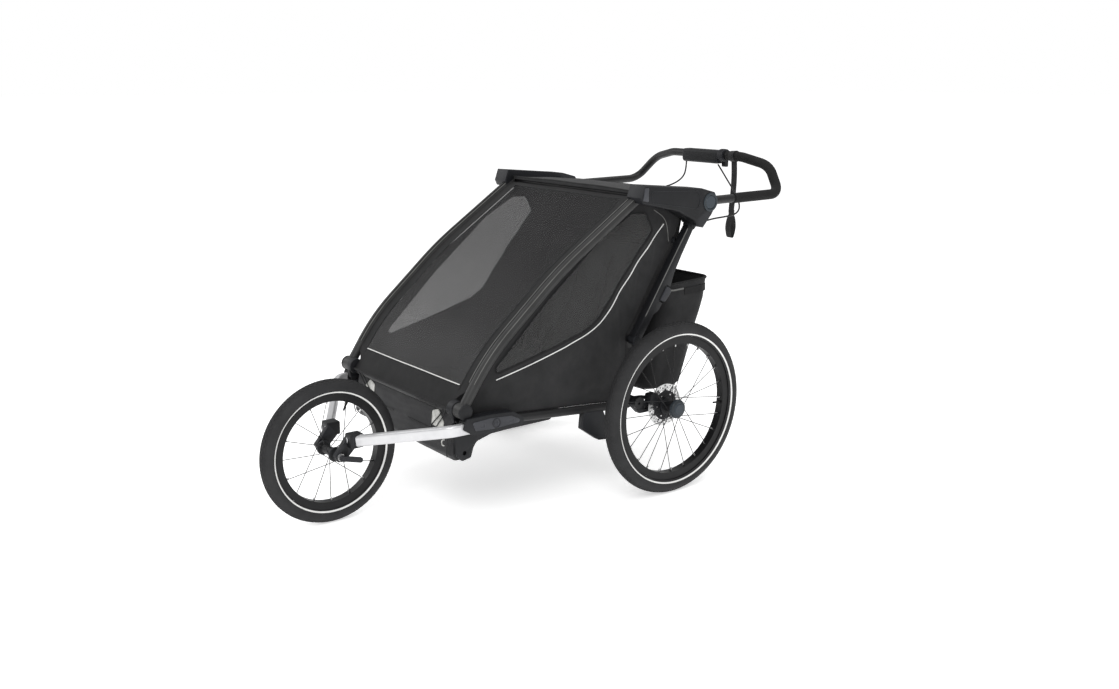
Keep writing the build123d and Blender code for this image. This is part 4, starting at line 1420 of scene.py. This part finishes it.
@dataclass
class Seats:
    """Seat pad, backrest and the two harnesses."""

    pad_z: Pair = (289.6, 331.0)
    back: tuple = ((187.0, 292.0), (219.0, 292.0), (353.0, 689.0), (330.0, 697.0))

    def cushion(self, name: str, shape: Shape, body: str, node: str, cap: float) -> Any:
        """Args:
            name: the piece's name.
            shape: its closed shape.
            body: the body that it rides on.
            node: the CAD node that it replaces.
            cap: how far a point may move, mm.
        Returns:
            The piece.
        """
        piece = shape.piece(name, PADDING, True, 180)
        swollen(piece, cap)
        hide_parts(node)
        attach(piece, body)
        LOG.info("%s: %d faces", name, len(piece.data.polygons))
        return piece

    def build(self) -> None:
        """Makes the pads and the harnesses."""
        low, high = self.pad_z
        rings = []
        for z, shrink in ((low, 14), (low + 3, 7), (low + 14, 4), (high - 14, 4),
                          (high - 6, 8), (high - 3, 18)):
            outline = slab(2 * (236 - shrink), 2 * (119 - shrink), 18, 4)
            rings.append([(a, b + 59, z) for a, b in outline])
        self.cushion("seat_cushion", loft(rings), "chassis", "seat_pad", 5.0)
        a, b, c, d = (Vector(p) for p in self.back)
        rings = []
        for share in np.linspace(0.0, 1.0, 13):
            front, rear = a.lerp(d, share), b.lerp(c, share)
            middle, half = (front + rear) / 2, (rear - front) / 2 * 0.86
            width = 232 - 10 * max(0.0, (share - 0.8) / 0.2) ** 2 - 4 * (share < 0.05)
            ring_points = []
            for u, v in slab(2 * width, 2.0, 1.0, 4):
                ring_points.append((u, middle[0] + half[0] * v, middle[1] + half[1] * v))
            rings.append(ring_points)
        back = self.cushion("back_cushion", loft(rings), "chassis", "backrest", 4.0)
        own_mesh(back)
        self.harness(a, d)

    def harness(self, foot: Vector, head: Vector) -> None:
        """Two harnesses: shoulder straps, pads, crotch straps and buckles.

        Args:
            foot: (y, z) foot of the backrest's front.
            head: (y, z) head of it.
        """
        straps, pads, buckles = Shape(), Shape(), Shape()
        lean = (head - foot).normalized()
        off = Vector((-lean[1], lean[0])) * 7.0
        for seat in (-118.0, 118.0):
            for side in (-1, 1):
                run = []
                for share, x in ((0.90, 46), (0.7, 50), (0.5, 50), (0.3, 40), (0.17, 20),
                                 (0.12, 8)):
                    spot = foot.lerp(head, share) + off * (1 + 2.2 * (share < 0.35))
                    run.append((seat + side * x, spot[0], spot[1]))
                line = flowing(run, 5)
                straps = straps + sweep(line, slab(22, 1.8))
                pads = pads + sweep(line[3:16], slab(40, 7, 3), scale=lambda t: 0.8
                                    + 0.2 * math.sin(math.pi * t))
            knot = foot.lerp(head, 0.12) + off * 3.2
            crotch = flowing([(seat, knot[0], knot[1]), (seat, 146, 338), (seat, 110, 334),
                              (seat, 70, 333)], 6)
            straps = straps + sweep(crotch, slab(24, 1.8))
            buckle = sweep([(seat, knot[0] - 1, knot[1] + 20), (seat, knot[0] - 6, knot[1]),
                            (seat, knot[0] - 14, knot[1] - 20)], slab(42, 11, 4))
            buckles = buckles + buckle
        for name, shape, finish in (("harness_straps", straps, WEBBING),
                                    ("harness_pads", pads, PADDING),
                                    ("harness_buckles", buckles, NYLON_GREY)):
            piece = shape.piece(name, finish)
            if name == "harness_straps":
                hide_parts("harness")
            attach(piece, "chassis")
            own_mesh(piece)


def swollen(piece: Any, cap: float) -> None:
    """Blows a closed padded piece up with a short cloth simulation.

    Args:
        piece: the mesh object.
        cap: how far a point may move, mm.
    """
    net = piece.modifiers.new("net", "REMESH")
    net.mode = "VOXEL"
    net.voxel_size = 6 * MM
    frozen(piece, 180)
    start = np.array([v.co for v in piece.data.vertices])
    cloth = piece.modifiers.new("cloth", "CLOTH")
    cloth.settings.use_pressure = True
    cloth.settings.uniform_pressure_force = 4.0
    cloth.settings.effector_weights.gravity = 0.0
    for frame_number in range(1, 21):
        bpy.context.scene.frame_set(frame_number)
    frozen(piece, 180)
    bpy.context.scene.frame_set(1)
    end = np.array([v.co for v in piece.data.vertices])
    move = end - start
    length = np.linalg.norm(move, axis=1, keepdims=True)
    end = start + move * np.minimum(1.0, cap * MM / np.maximum(length, 1e-9))
    piece.data.vertices.foreach_set("co", end.astype(np.float32).ravel())
    piece.data.update()


# ---- wheels -------------------------------------------------------------------------
@dataclass
class Wheel:
    """One wheel: a tread on a round carcass, a reflective stripe, nipples and a valve."""

    name: str
    body: str
    nodes: dict
    centre: Point
    radius: float
    section: float
    stripe: float
    spokes: int
    valve: float = 0.0

    def tyre(self) -> Shape:
        """The round carcass, about the wheel's own axis.

        Returns:
            The carcass.
        """
        middle = self.radius - self.section
        round_part = []
        for i in range(25):
            angle = math.radians(-138 + 276 * i / 24)
            size = self.section - 1.4 if abs(angle) < 0.8 else self.section - 0.6
            round_part.append((size * math.sin(angle), middle + size * math.cos(angle)))
        inner = [(0.86 * x, middle + 0.84 * (r - middle)) for x, r in reversed(round_part)]
        return lathe(round_part + inner, 128)

    def tread(self) -> Shape:
        """Low blocks in seven rows.

        Returns:
            The blocks, about the wheel's own axis.
        """
        blocks = Shape()
        count = round(self.radius * 0.42)
        for row, angle in enumerate((-50, -34, -17, 0, 17, 34, 50)):
            tilt = math.radians(angle)
            reach = self.section - 1.5
            size = (5.0, 8.6, 2.2) if abs(angle) < 40 else (3.4, 10.4, 2.2)
            blocks = blocks + ring(count, self.radius - self.section + reach * math.cos(tilt),
                                   size, RUBBER, reach * math.sin(tilt), tilt,
                                   math.pi / count * (row % 2))
        return blocks

    def stripes(self) -> Shape:
        """The white line on both sidewalls.

        Returns:
            The two bands, about the wheel's own axis.
        """
        middle = self.radius - self.section
        bands = Shape()
        for face in (-1, 1):
            profile = []
            for lift, drop in ((0.15, -2.0), (0.15, 0.0), (0.15, 2.0), (-0.9, 2.0),
                               (-0.9, 0.0), (-0.9, -2.0)):
                rise = self.stripe + drop - middle
                size = self.section - 0.6 + lift
                profile.append((face * math.sqrt(size ** 2 - rise ** 2), self.stripe + drop))
            bands = bands + lathe(profile, 128)
        return bands

    def build(self, trailer: Trailer) -> None:
        """Makes the wheel's own pieces and dresses its CAD nodes.

        Args:
            trailer: the frame that holds the nodes.
        """
        place = self.centre
        carcass = (self.tyre() + self.tread()).moved(place)
        report(carcass.piece(f"{self.name}_tyre_tread", RUBBER), self.body,
               self.nodes["tyre"])
        report(self.stripes().moved(place).piece(f"{self.name}_stripe", PIPING), self.body)
        rim_inner = self.radius - 2 * self.section + 6 - 20.8
        nipples = ring(self.spokes, rim_inner - 4.0, (3.4, 3.4, 9.0), STEEL)
        report(nipples.moved(place).piece(f"{self.name}_nipples", STEEL), self.body)
        out = Vector((0, math.cos(self.valve), math.sin(self.valve)))
        run = [Vector(place) + out * (rim_inner + shift)
               for shift in (2.0, -6.0, -12.0, -26.0)]
        stem = sweep(run, circle(3.4, 10), scale=lambda t: 1.3 if t < 0.4 else 0.8)
        report(stem.piece(f"{self.name}_valve", CABLE), self.body)
        trailer.dress(RIM, self.nodes["rim"])
        trailer.dress(SPOKE, self.nodes["spokes"])
        trailer.dress(NYLON, self.nodes["hub"])


@dataclass
class RearHub:
    """Ribbed slate cap over the hub's outer end, and the rotor's carrier and bolts."""

    side: int

    def build(self, trailer: Trailer) -> None:
        """Makes the cap, the rotor's carrier and dresses the hub's small parts.

        Args:
            trailer: the frame that holds the nodes.
        """
        name = "left" if self.side > 0 else "right"
        place = (self.side * REAR_HUB[0], REAR_HUB[1], REAR_HUB[2])
        cap = lathe([(12.6, 25.6), (14.0, 27.2), (18.5, 27.0), (22.0, 25.4), (24.3, 22.6),
                     (24.6, 19.6), (24.3, 17.6), (22.6, 17.5), (12.6, 18.2)], 56)
        cap = cap + ring(20, 26.6, (6.0, 1.6, 1.6), CAP, 16.6)
        carrier = lathe([(-34.6, 22.4), (-34.6, 43.0), (-33.6, 43.4), (-32.4, 36.0),
                         (-29.0, 27.0), (-29.0, 22.4)], 56)
        carrier = carrier + ring(12, 44.5, (1.0, 4.0, 8.0), NYLON, -34.0)
        # Two rows of thin dark blocks on the rotor's face: painted shade standing in for the
        # rotor's holes.
        carrier = carrier + ring(18, 52.0, (0.5, 3.6, 3.6), NYLON, -34.8) \
            + ring(18, 57.0, (0.5, 3.2, 3.2), NYLON, -34.8, 0.0, math.pi / 18)
        bolts = ring(6, 33.0, (1.0, 4.0, 4.0), STEEL, -31.2)
        for key, shape, finish in (("hub_cap", cap, CAP), ("rotor_carrier", carrier, NYLON),
                                   ("rotor_bolts", bolts, STEEL)):
            report(shape.on(self.side).moved(place).piece(f"{key}_{name}", finish),
                   f"wheel_{name}")
        trailer.dress(STEEL, f"brake_disc_{name}")
        trailer.dress(CAP_DISC, f"hub_button_{name}")
        trailer.soften(NYLON, f"suspension_{name}", f"suspension_arm_{name}", 1.0)
        trailer.soften(NYLON, f"suspension_{name}", f"brake_caliper_{name}", 1.2)


# ---- brackets, connectors and struts ------------------------------------------------
@dataclass
class Brackets:
    """Side brackets, front connectors and rear struts with their trims."""

    pivot: Pair = (444.0, 823.0)
    foot: Pair = (206.0, 446.0)
    strut_top: Pair = (409.0, 758.0)

    def build(self, trailer: Trailer) -> None:
        """Makes the trims of both sides and dresses the CAD nodes.

        Args:
            trailer: the frame that holds the nodes.
        """
        for side, name in ((1, "left"), (-1, "right")):
            trailer.soften(NYLON, "upper_frame", f"top_bracket_{name}", 2.2)
            trailer.dress(CAP_DISC, f"adjust_button_{name}")
            trailer.soften(NYLON_GREY, f"latch_{name}", f"latch_lever_{name}", 1.0)
            trailer.dress(NYLON, f"connector_button_{name}")
            dial = lathe([(344.5, 19.8), (346.6, 19.8), (347.4, 21.0), (347.4, 25.2),
                          (346.4, 26.6), (344.5, 26.6)], 56).moved((0, *self.pivot))
            for key, shape, finish, body in (
                    ("bracket_ring", dial, CAP, "upper_frame"),
                    ("bracket_inset", self.inset(), NYLON, "upper_frame"),
                    ("bracket_nose", self.nose(), NYLON_GREY, "upper_frame"),
                    ("connector_face", self.connector_face(), NYLON_GREY, "chassis"),
                    ("connector_dial", self.connector_dial(), NYLON, "chassis"),
                    ("connector_ribs", self.button_ribs(), NYLON_GREY,
                     f"connector_button_{name}"),
                    # The strut's light strip is a painted highlight on its front edge.
                    ("strut_highlight_strip", self.strut_highlight_strip(), SEAM, "rear_frame"),
                    ("strut_joint", self.lower_joint(), NYLON, "rear_frame")):
                report(shape.on(side).piece(f"{key}_{name}", finish), body)
        trailer.soften(NYLON, "chassis", "connectors", 1.6)
        trailer.soften(NYLON, "rear_frame", "rear_pillars", 1.4)
        trailer.soften(NYLON, "chassis", "corner_joints", 1.2)
        trailer.soften(NYLON, "jog_fork", "hub_brackets", 1.2)
        trailer.soften(NYLON, "chassis", "floor_brackets", 1.0)

    @staticmethod
    def plate(outline: Sequence[Pair], low: float, high: float, corner: float = 3.0) -> Shape:
        """A flat raised plate with rounded corners and a stepped edge.

        Args:
            outline: the (y, z) corners.
            low: x of its foot.
            high: x of its face.
            corner: radius of the corners.
        Returns:
            The plate.
        """
        line = loop_of(outline, corner, 6.0)
        middle = sum((Vector(p) for p in line), Vector((0, 0))) / len(line)
        rings = []
        for x, pull in ((low, 0.0), (high - 0.6, 0.0), (high, 0.8)):
            rings.append([(x, *(Vector(p) + (middle - Vector(p)).normalized() * pull))
                          for p in line])
        return loft(rings)

    def inset(self) -> Shape:
        """Raised outline on the bracket's flat face."""
        line = loop_of([(214, 866), (392, 858), (404, 838), (396, 806), (330, 818),
                        (222, 833)], 8.0, 8.0)
        return sweep(with_x(345.2, line), circle(0.9, 6), closed=True)

    def nose(self) -> Shape:
        """Cap on the bracket's front end."""
        return self.plate([(186, 842), (192, 876), (206, 877), (206, 838)], 344.6, 346.8)

    def connector_face(self) -> Shape:
        """Raised panel on the connector, with two angle marks.

        Returns:
            The panel and its marks.
        """
        shape = self.plate([(-362, 314), (-306, 317), (-240, 312), (-214, 299), (-214, 290),
                            (-300, 287), (-352, 291)], 326.6, 328.6, 4.0)
        for corner, across, up in (((-338, 296), 14, 10), ((-246, 296), 14, 10)):
            run = [(corner[0], corner[1]), (corner[0] + across, corner[1]),
                   (corner[0] + across, corner[1] + up)]
            shape = shape + sweep(divided([Vector(p) for p in with_x(328.8, run)], 4),
                                  circle(0.8, 6))
        return shape

    @staticmethod
    def connector_dial() -> Shape:
        """Ring round the release button."""
        return lathe([(328.2, 10.8), (329.4, 10.8), (329.8, 11.6), (329.4, 12.6),
                      (328.2, 12.6)], 40).moved((0, -288.0, 301.0))

    @staticmethod
    def button_ribs() -> Shape:
        """Three grip ribs on the release button's face.

        Returns:
            The ribs.
        """
        ribs = Shape()
        for y in (-292.5, -288.0, -283.5):
            ribs = ribs + sweep([(328.9, y, 296.0), (329.4, y, 299.0), (329.4, y, 303.0),
                                 (328.9, y, 306.0)], slab(1.2, 1.4), side=(1, 0, 0))
        return ribs

    def strut_highlight_strip(self) -> Shape:
        """Painted highlight: a light strip along the rear strut's front face, where its edge
        catches the light.

        Returns:
            The strip.
        """
        top, foot = Vector(self.strut_top), Vector(self.foot)
        down = (foot - top).normalized()
        out = Vector((down[1], -down[0]))
        run = [top + down * d + out * 11.0 for d in np.linspace(18, 300, 24)]
        return sweep(with_x(312.4, run), circle(1.5, 6))

    def lower_joint(self) -> Shape:
        """Round knuckle at the strut's foot."""
        return lathe([(311.6, 0.01), (311.6, 15.0), (315.4, 14.0), (316.4, 11.0),
                      (316.4, 0.01)], 40).moved((0, *self.foot))


@dataclass
class Handlebar:
    """Foam grips, console, wrist strap and brake cables."""

    points: tuple = ((317.0, 456.0, 823.0), (317.0, 762.0, 826.0), (250.0, 790.0, 903.0),
                     (152.0, 773.0, 925.0))
    bends: tuple = (48.0, 80.0, 100.0, 100.0, 80.0, 48.0)
    top: Pair = (773.0, 925.0)
    left_cable: tuple = ((58.0, 768.0, 895.2), (88.0, 757.0, 876.0), (138.0, 731.0, 851.0),
                         (195.0, 702.0, 824.0), (246.0, 668.0, 801.0),
                         (279.0, 636.0, 783.0))
    right_cable: tuple = ((-84.0, 768.0, 897.6), (-87.0, 770.0, 868.0),
                          (-95.0, 764.0, 844.0), (-116.0, 752.0, 825.0),
                          (-150.0, 736.0, 810.0), (-196.0, 710.0, 798.0),
                          (-242.0, 676.0, 788.0), (-278.0, 638.0, 779.0))
    under_arm: tuple = ((296.0, 600.0, 772.0), (300.0, 552.0, 769.0), (299.0, 505.0, 767.0),
                        (296.0, 467.0, 761.0), (296.0, 424.0, 747.5))

    def line(self) -> list[Vector]:
        """The bar's centre line, from the left pivot round to the right one."""
        right = [(-x, y, z) for x, y, z in reversed(self.points)]
        return divided(rounded([*self.points, *right], self.bends, 6.0), 14.0)

    def build(self, trailer: Trailer) -> None:
        """Makes the handlebar's pieces.

        Args:
            trailer: the frame that holds the nodes.
        """
        line = self.line()
        left = [p for p in line if p[0] > 86.0 and p[1] > 560.0]
        right = [p for p in line if p[0] < -90.5 and p[1] > 560.0]
        foam = sweep(left, circle(15.0, 24)) + sweep(right, circle(15.0, 24))
        report(foam.piece("foam_grips", FOAM), "handlebar", "handlebar_grips")
        report(self.console().piece("console_shell", NYLON), "handlebar", "brake_console")
        trims = ring(26, 19.6, (13.0, 2.2, 1.8), NYLON, 75.0).moved((0, *self.top))
        report(trims.piece("brake_lever_ribs", NYLON), "brake_lever")
        trailer.dress(NYLON, "brake_lever")
        report(self.strap().piece("wrist_webbing", WEBBING), "handlebar", "wrist_strap")
        self.cables()

    def console(self) -> Shape:
        """Soft-edged console shell under the bar.

        Returns:
            The shell.
        """
        rings = []
        y, z = self.top
        for x, size in ((-90, 0.9), (-88, 0.965), (-83, 1.0), (-50, 1.0), (-10, 1.0),
                        (30, 1.0), (57, 1.0), (62, 0.965), (64, 0.9)):
            section = slab(37.6 * size, 42.6 * size, 9.5, 5)
            rings.append([(float(x), y - 1.0 + a, z - 5.5 + b) for a, b in section])
        return loft(rings)

    def strap(self) -> Shape:
        """Wrist webbing: a band round the bar, two plies down and a hand loop.

        Returns:
            The webbing.
        """
        y, z = self.top
        wrap = [(y + 16.4 * math.sin(t), z - 16.4 * math.cos(t))
                for t in np.linspace(0.15, 2 * math.pi - 0.15, 24)]
        low = z - 182.0
        loop = [(y, low), (y + 8, low - 16), (y + 12, low - 42), (y + 6, low - 68),
                (y, low - 74), (y - 6, low - 68), (y - 12, low - 42), (y - 8, low - 16),
                (y, low)]

        def bend(p: Pair) -> Point:
            """A (y, z) point with the slight bow of hanging webbing."""
            return (120.0 + 2.5 * math.sin((z - p[1]) / 52.0), p[0], p[1])

        hang = [(y + 2.0 * math.sin((z - h) / 40.0), h) for h in np.arange(z - 17, low, -12)]
        band = sweep([bend(p) for p in wrap], slab(21, 1.7))
        plies = sweep([bend(p) for p in hang] + [bend((y, low))], slab(21, 3.2))
        hand = sweep([bend(p) for p in flowing(loop, 6)], slab(21, 1.7))
        stitch = sweep([bend((y, low + 14)), bend((y, low - 2))], slab(21.6, 4.6, 1))
        return band + plies + hand + stitch

    def cables(self) -> None:
        """Two brake cables, each one smooth run from the console to a rear strut."""
        right_end = tuple((-x, y, z) for x, y, z in self.under_arm)
        for name, route in (("left", self.left_cable + self.under_arm),
                            ("right", self.right_cable + right_end)):
            line = cable_line(route)
            cord = sweep(line, circle(2.5, 10))
            piece = cord.piece(f"brake_cable_{name}", CABLE)
            if name == "left":
                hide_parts("brake_cables")
            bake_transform(piece)


def cable_line(route: Sequence[Point]) -> list[Vector]:
    """Points along the smooth spline that a cable's route controls.

    Args:
        route: the control points, mm.
    Returns:
        The points of the line, mm.
    """
    curve = bpy.data.curves.new("route", "CURVE")
    curve.dimensions = "3D"
    spline = curve.splines.new("NURBS")
    spline.points.add(len(route) - 1)
    for point, place in zip(spline.points, route):
        point.co = (*(c * MM for c in place), 1.0)
    spline.order_u = 3
    spline.use_endpoint_u = True
    spline.resolution_u = 6
    holder = bpy.data.objects.new("route", curve)
    bpy.context.collection.objects.link(holder)
    bpy.context.view_layer.update()
    ready = holder.evaluated_get(bpy.context.evaluated_depsgraph_get())
    mesh = bpy.data.meshes.new_from_object(ready)
    line = [Vector([c / MM for c in v.co]) for v in mesh.vertices]
    bpy.data.objects.remove(holder)
    return line


# ---- studio -------------------------------------------------------------------------
@dataclass
class Studio:
    """White floor, soft light and the camera."""

    camera_at: Point = (2.58971, -1.87596, 1.17713)
    turn: float = 53.89
    lift: float = 13.3
    lens: float = 36.09
    shift: Pair = (0.039, -0.0051)
    ambient: float = 0.62

    def build(self) -> None:
        """Makes the floor, the lights, the sky and the camera."""
        scene = bpy.context.scene
        scene.view_settings.view_transform = "Standard"
        floor = bpy.data.meshes.new("floor")
        floor.from_pydata([(-60, -60, 0), (60, -60, 0), (60, 60, 0), (-60, 60, 0)], [],
                          [(0, 1, 2, 3)])
        paper = bpy.data.materials.new("white_paper")
        paper.use_nodes = True
        tree = paper.node_tree
        tree.nodes.clear()
        matt = add_node(tree, "ShaderNodeBsdfDiffuse", {"Color": (0.97, 0.97, 0.97, 1)})
        glow = add_node(tree, "ShaderNodeEmission", {"Strength": 0.5})
        both = add_node(tree, "ShaderNodeAddShader", {0: matt.outputs[0], 1: glow.outputs[0]})
        add_node(tree, "ShaderNodeOutputMaterial", {0: both.outputs[0]})
        floor.materials.append(paper)
        ground = bpy.data.objects.new("floor", floor)
        bpy.context.collection.objects.link(ground)
        ground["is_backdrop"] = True
        world = bpy.data.worlds.new("studio")
        world.use_nodes = True
        scene.world = world
        tree = world.node_tree
        tree.nodes.clear()
        seen = add_node(tree, "ShaderNodeLightPath").outputs["Is Camera Ray"]
        level = add_node(tree, "ShaderNodeMapRange",
                         {"Value": seen, "To Min": self.ambient, "To Max": 1.0}).outputs[0]
        sky = add_node(tree, "ShaderNodeBackground", {"Strength": level})
        sky.inputs["Color"].default_value = (1, 1, 1, 1)
        add_node(tree, "ShaderNodeOutputWorld", {0: sky.outputs[0]})
        for name, place, power, size in (("key", (3.0, -3.2, 4.2), 130.0, 3.0),
                                         ("fill", (-3.6, -2.4, 3.0), 60.0, 3.0),
                                         ("top", (0.2, 1.4, 4.6), 60.0, 3.4)):
            data = bpy.data.lights.new(name, "AREA")
            data.energy = power
            data.size = size
            lamp = bpy.data.objects.new(name, data)
            lamp.location = place
            aim = Vector((0, 0, 0.4)) - Vector(place)
            lamp.rotation_euler = aim.to_track_quat("-Z", "Y").to_euler()
            bpy.context.collection.objects.link(lamp)
        data = bpy.data.cameras.new("camera")
        data.lens = self.lens
        data.sensor_width = 36.0
        data.shift_x, data.shift_y = self.shift
        camera = bpy.data.objects.new("camera", data)
        camera.location = self.camera_at
        a, e = math.radians(self.turn), math.radians(self.lift)
        back = Vector((math.sin(a) * math.cos(e), -math.cos(a) * math.cos(e), math.sin(e)))
        camera.rotation_euler = back.to_track_quat("Z", "Y").to_euler()
        bpy.context.collection.objects.link(camera)
        scene.camera = camera


def main() -> list:
    """Builds the whole model round its frame.

    Returns:
        The frame's own box, measured before any piece was added.
    """
    logging.basicConfig(level=logging.INFO, format="%(name)s %(message)s")
    trailer = Trailer(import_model())
    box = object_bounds()
    Studio().build()
    trailer.dress(FRAME, "side_rails", "crossbars", "rear_posts", "roof_bows",
                  "handlebar_tube")
    trailer.dress(PILLAR, "front_pillars")
    trailer.dress(NYLON, "seat_base")
    trailer.dress(SILVER, "jog_arms")
    trailer.dress(STEEL, "front_axle")
    trailer.dress(NYLON, "quick_release_lever")
    SidePanels().build()
    FrontCover().build()
    Roof().build()
    Pillars().build()
    BackPanel().build()
    Basket().build()
    FloorTub().build()
    Seats().build()
    for side, name in ((1, "left"), (-1, "right")):
        nodes = {part: f"{part}_{name}" for part in ("tyre", "rim", "spokes", "hub")}
        hub = (side * REAR_HUB[0], REAR_HUB[1], REAR_HUB[2])
        Wheel(f"rear_{name}", f"wheel_{name}", nodes, hub, radius=250.0, section=23.5,
              stripe=216.5, spokes=24, valve=-0.08).build(trailer)
        RearHub(side).build(trailer)
    nodes = {part: f"front_{part}" for part in ("tyre", "rim", "spokes", "hub")}
    Wheel("front", "front_wheel", nodes, FRONT_HUB, radius=198.0, section=22.0,
          stripe=164.2, spokes=16, valve=1.155).build(trailer)
    Brackets().build(trailer)
    Handlebar().build(trailer)
    return box


if __name__ == "__main__":
    cad_box = main()
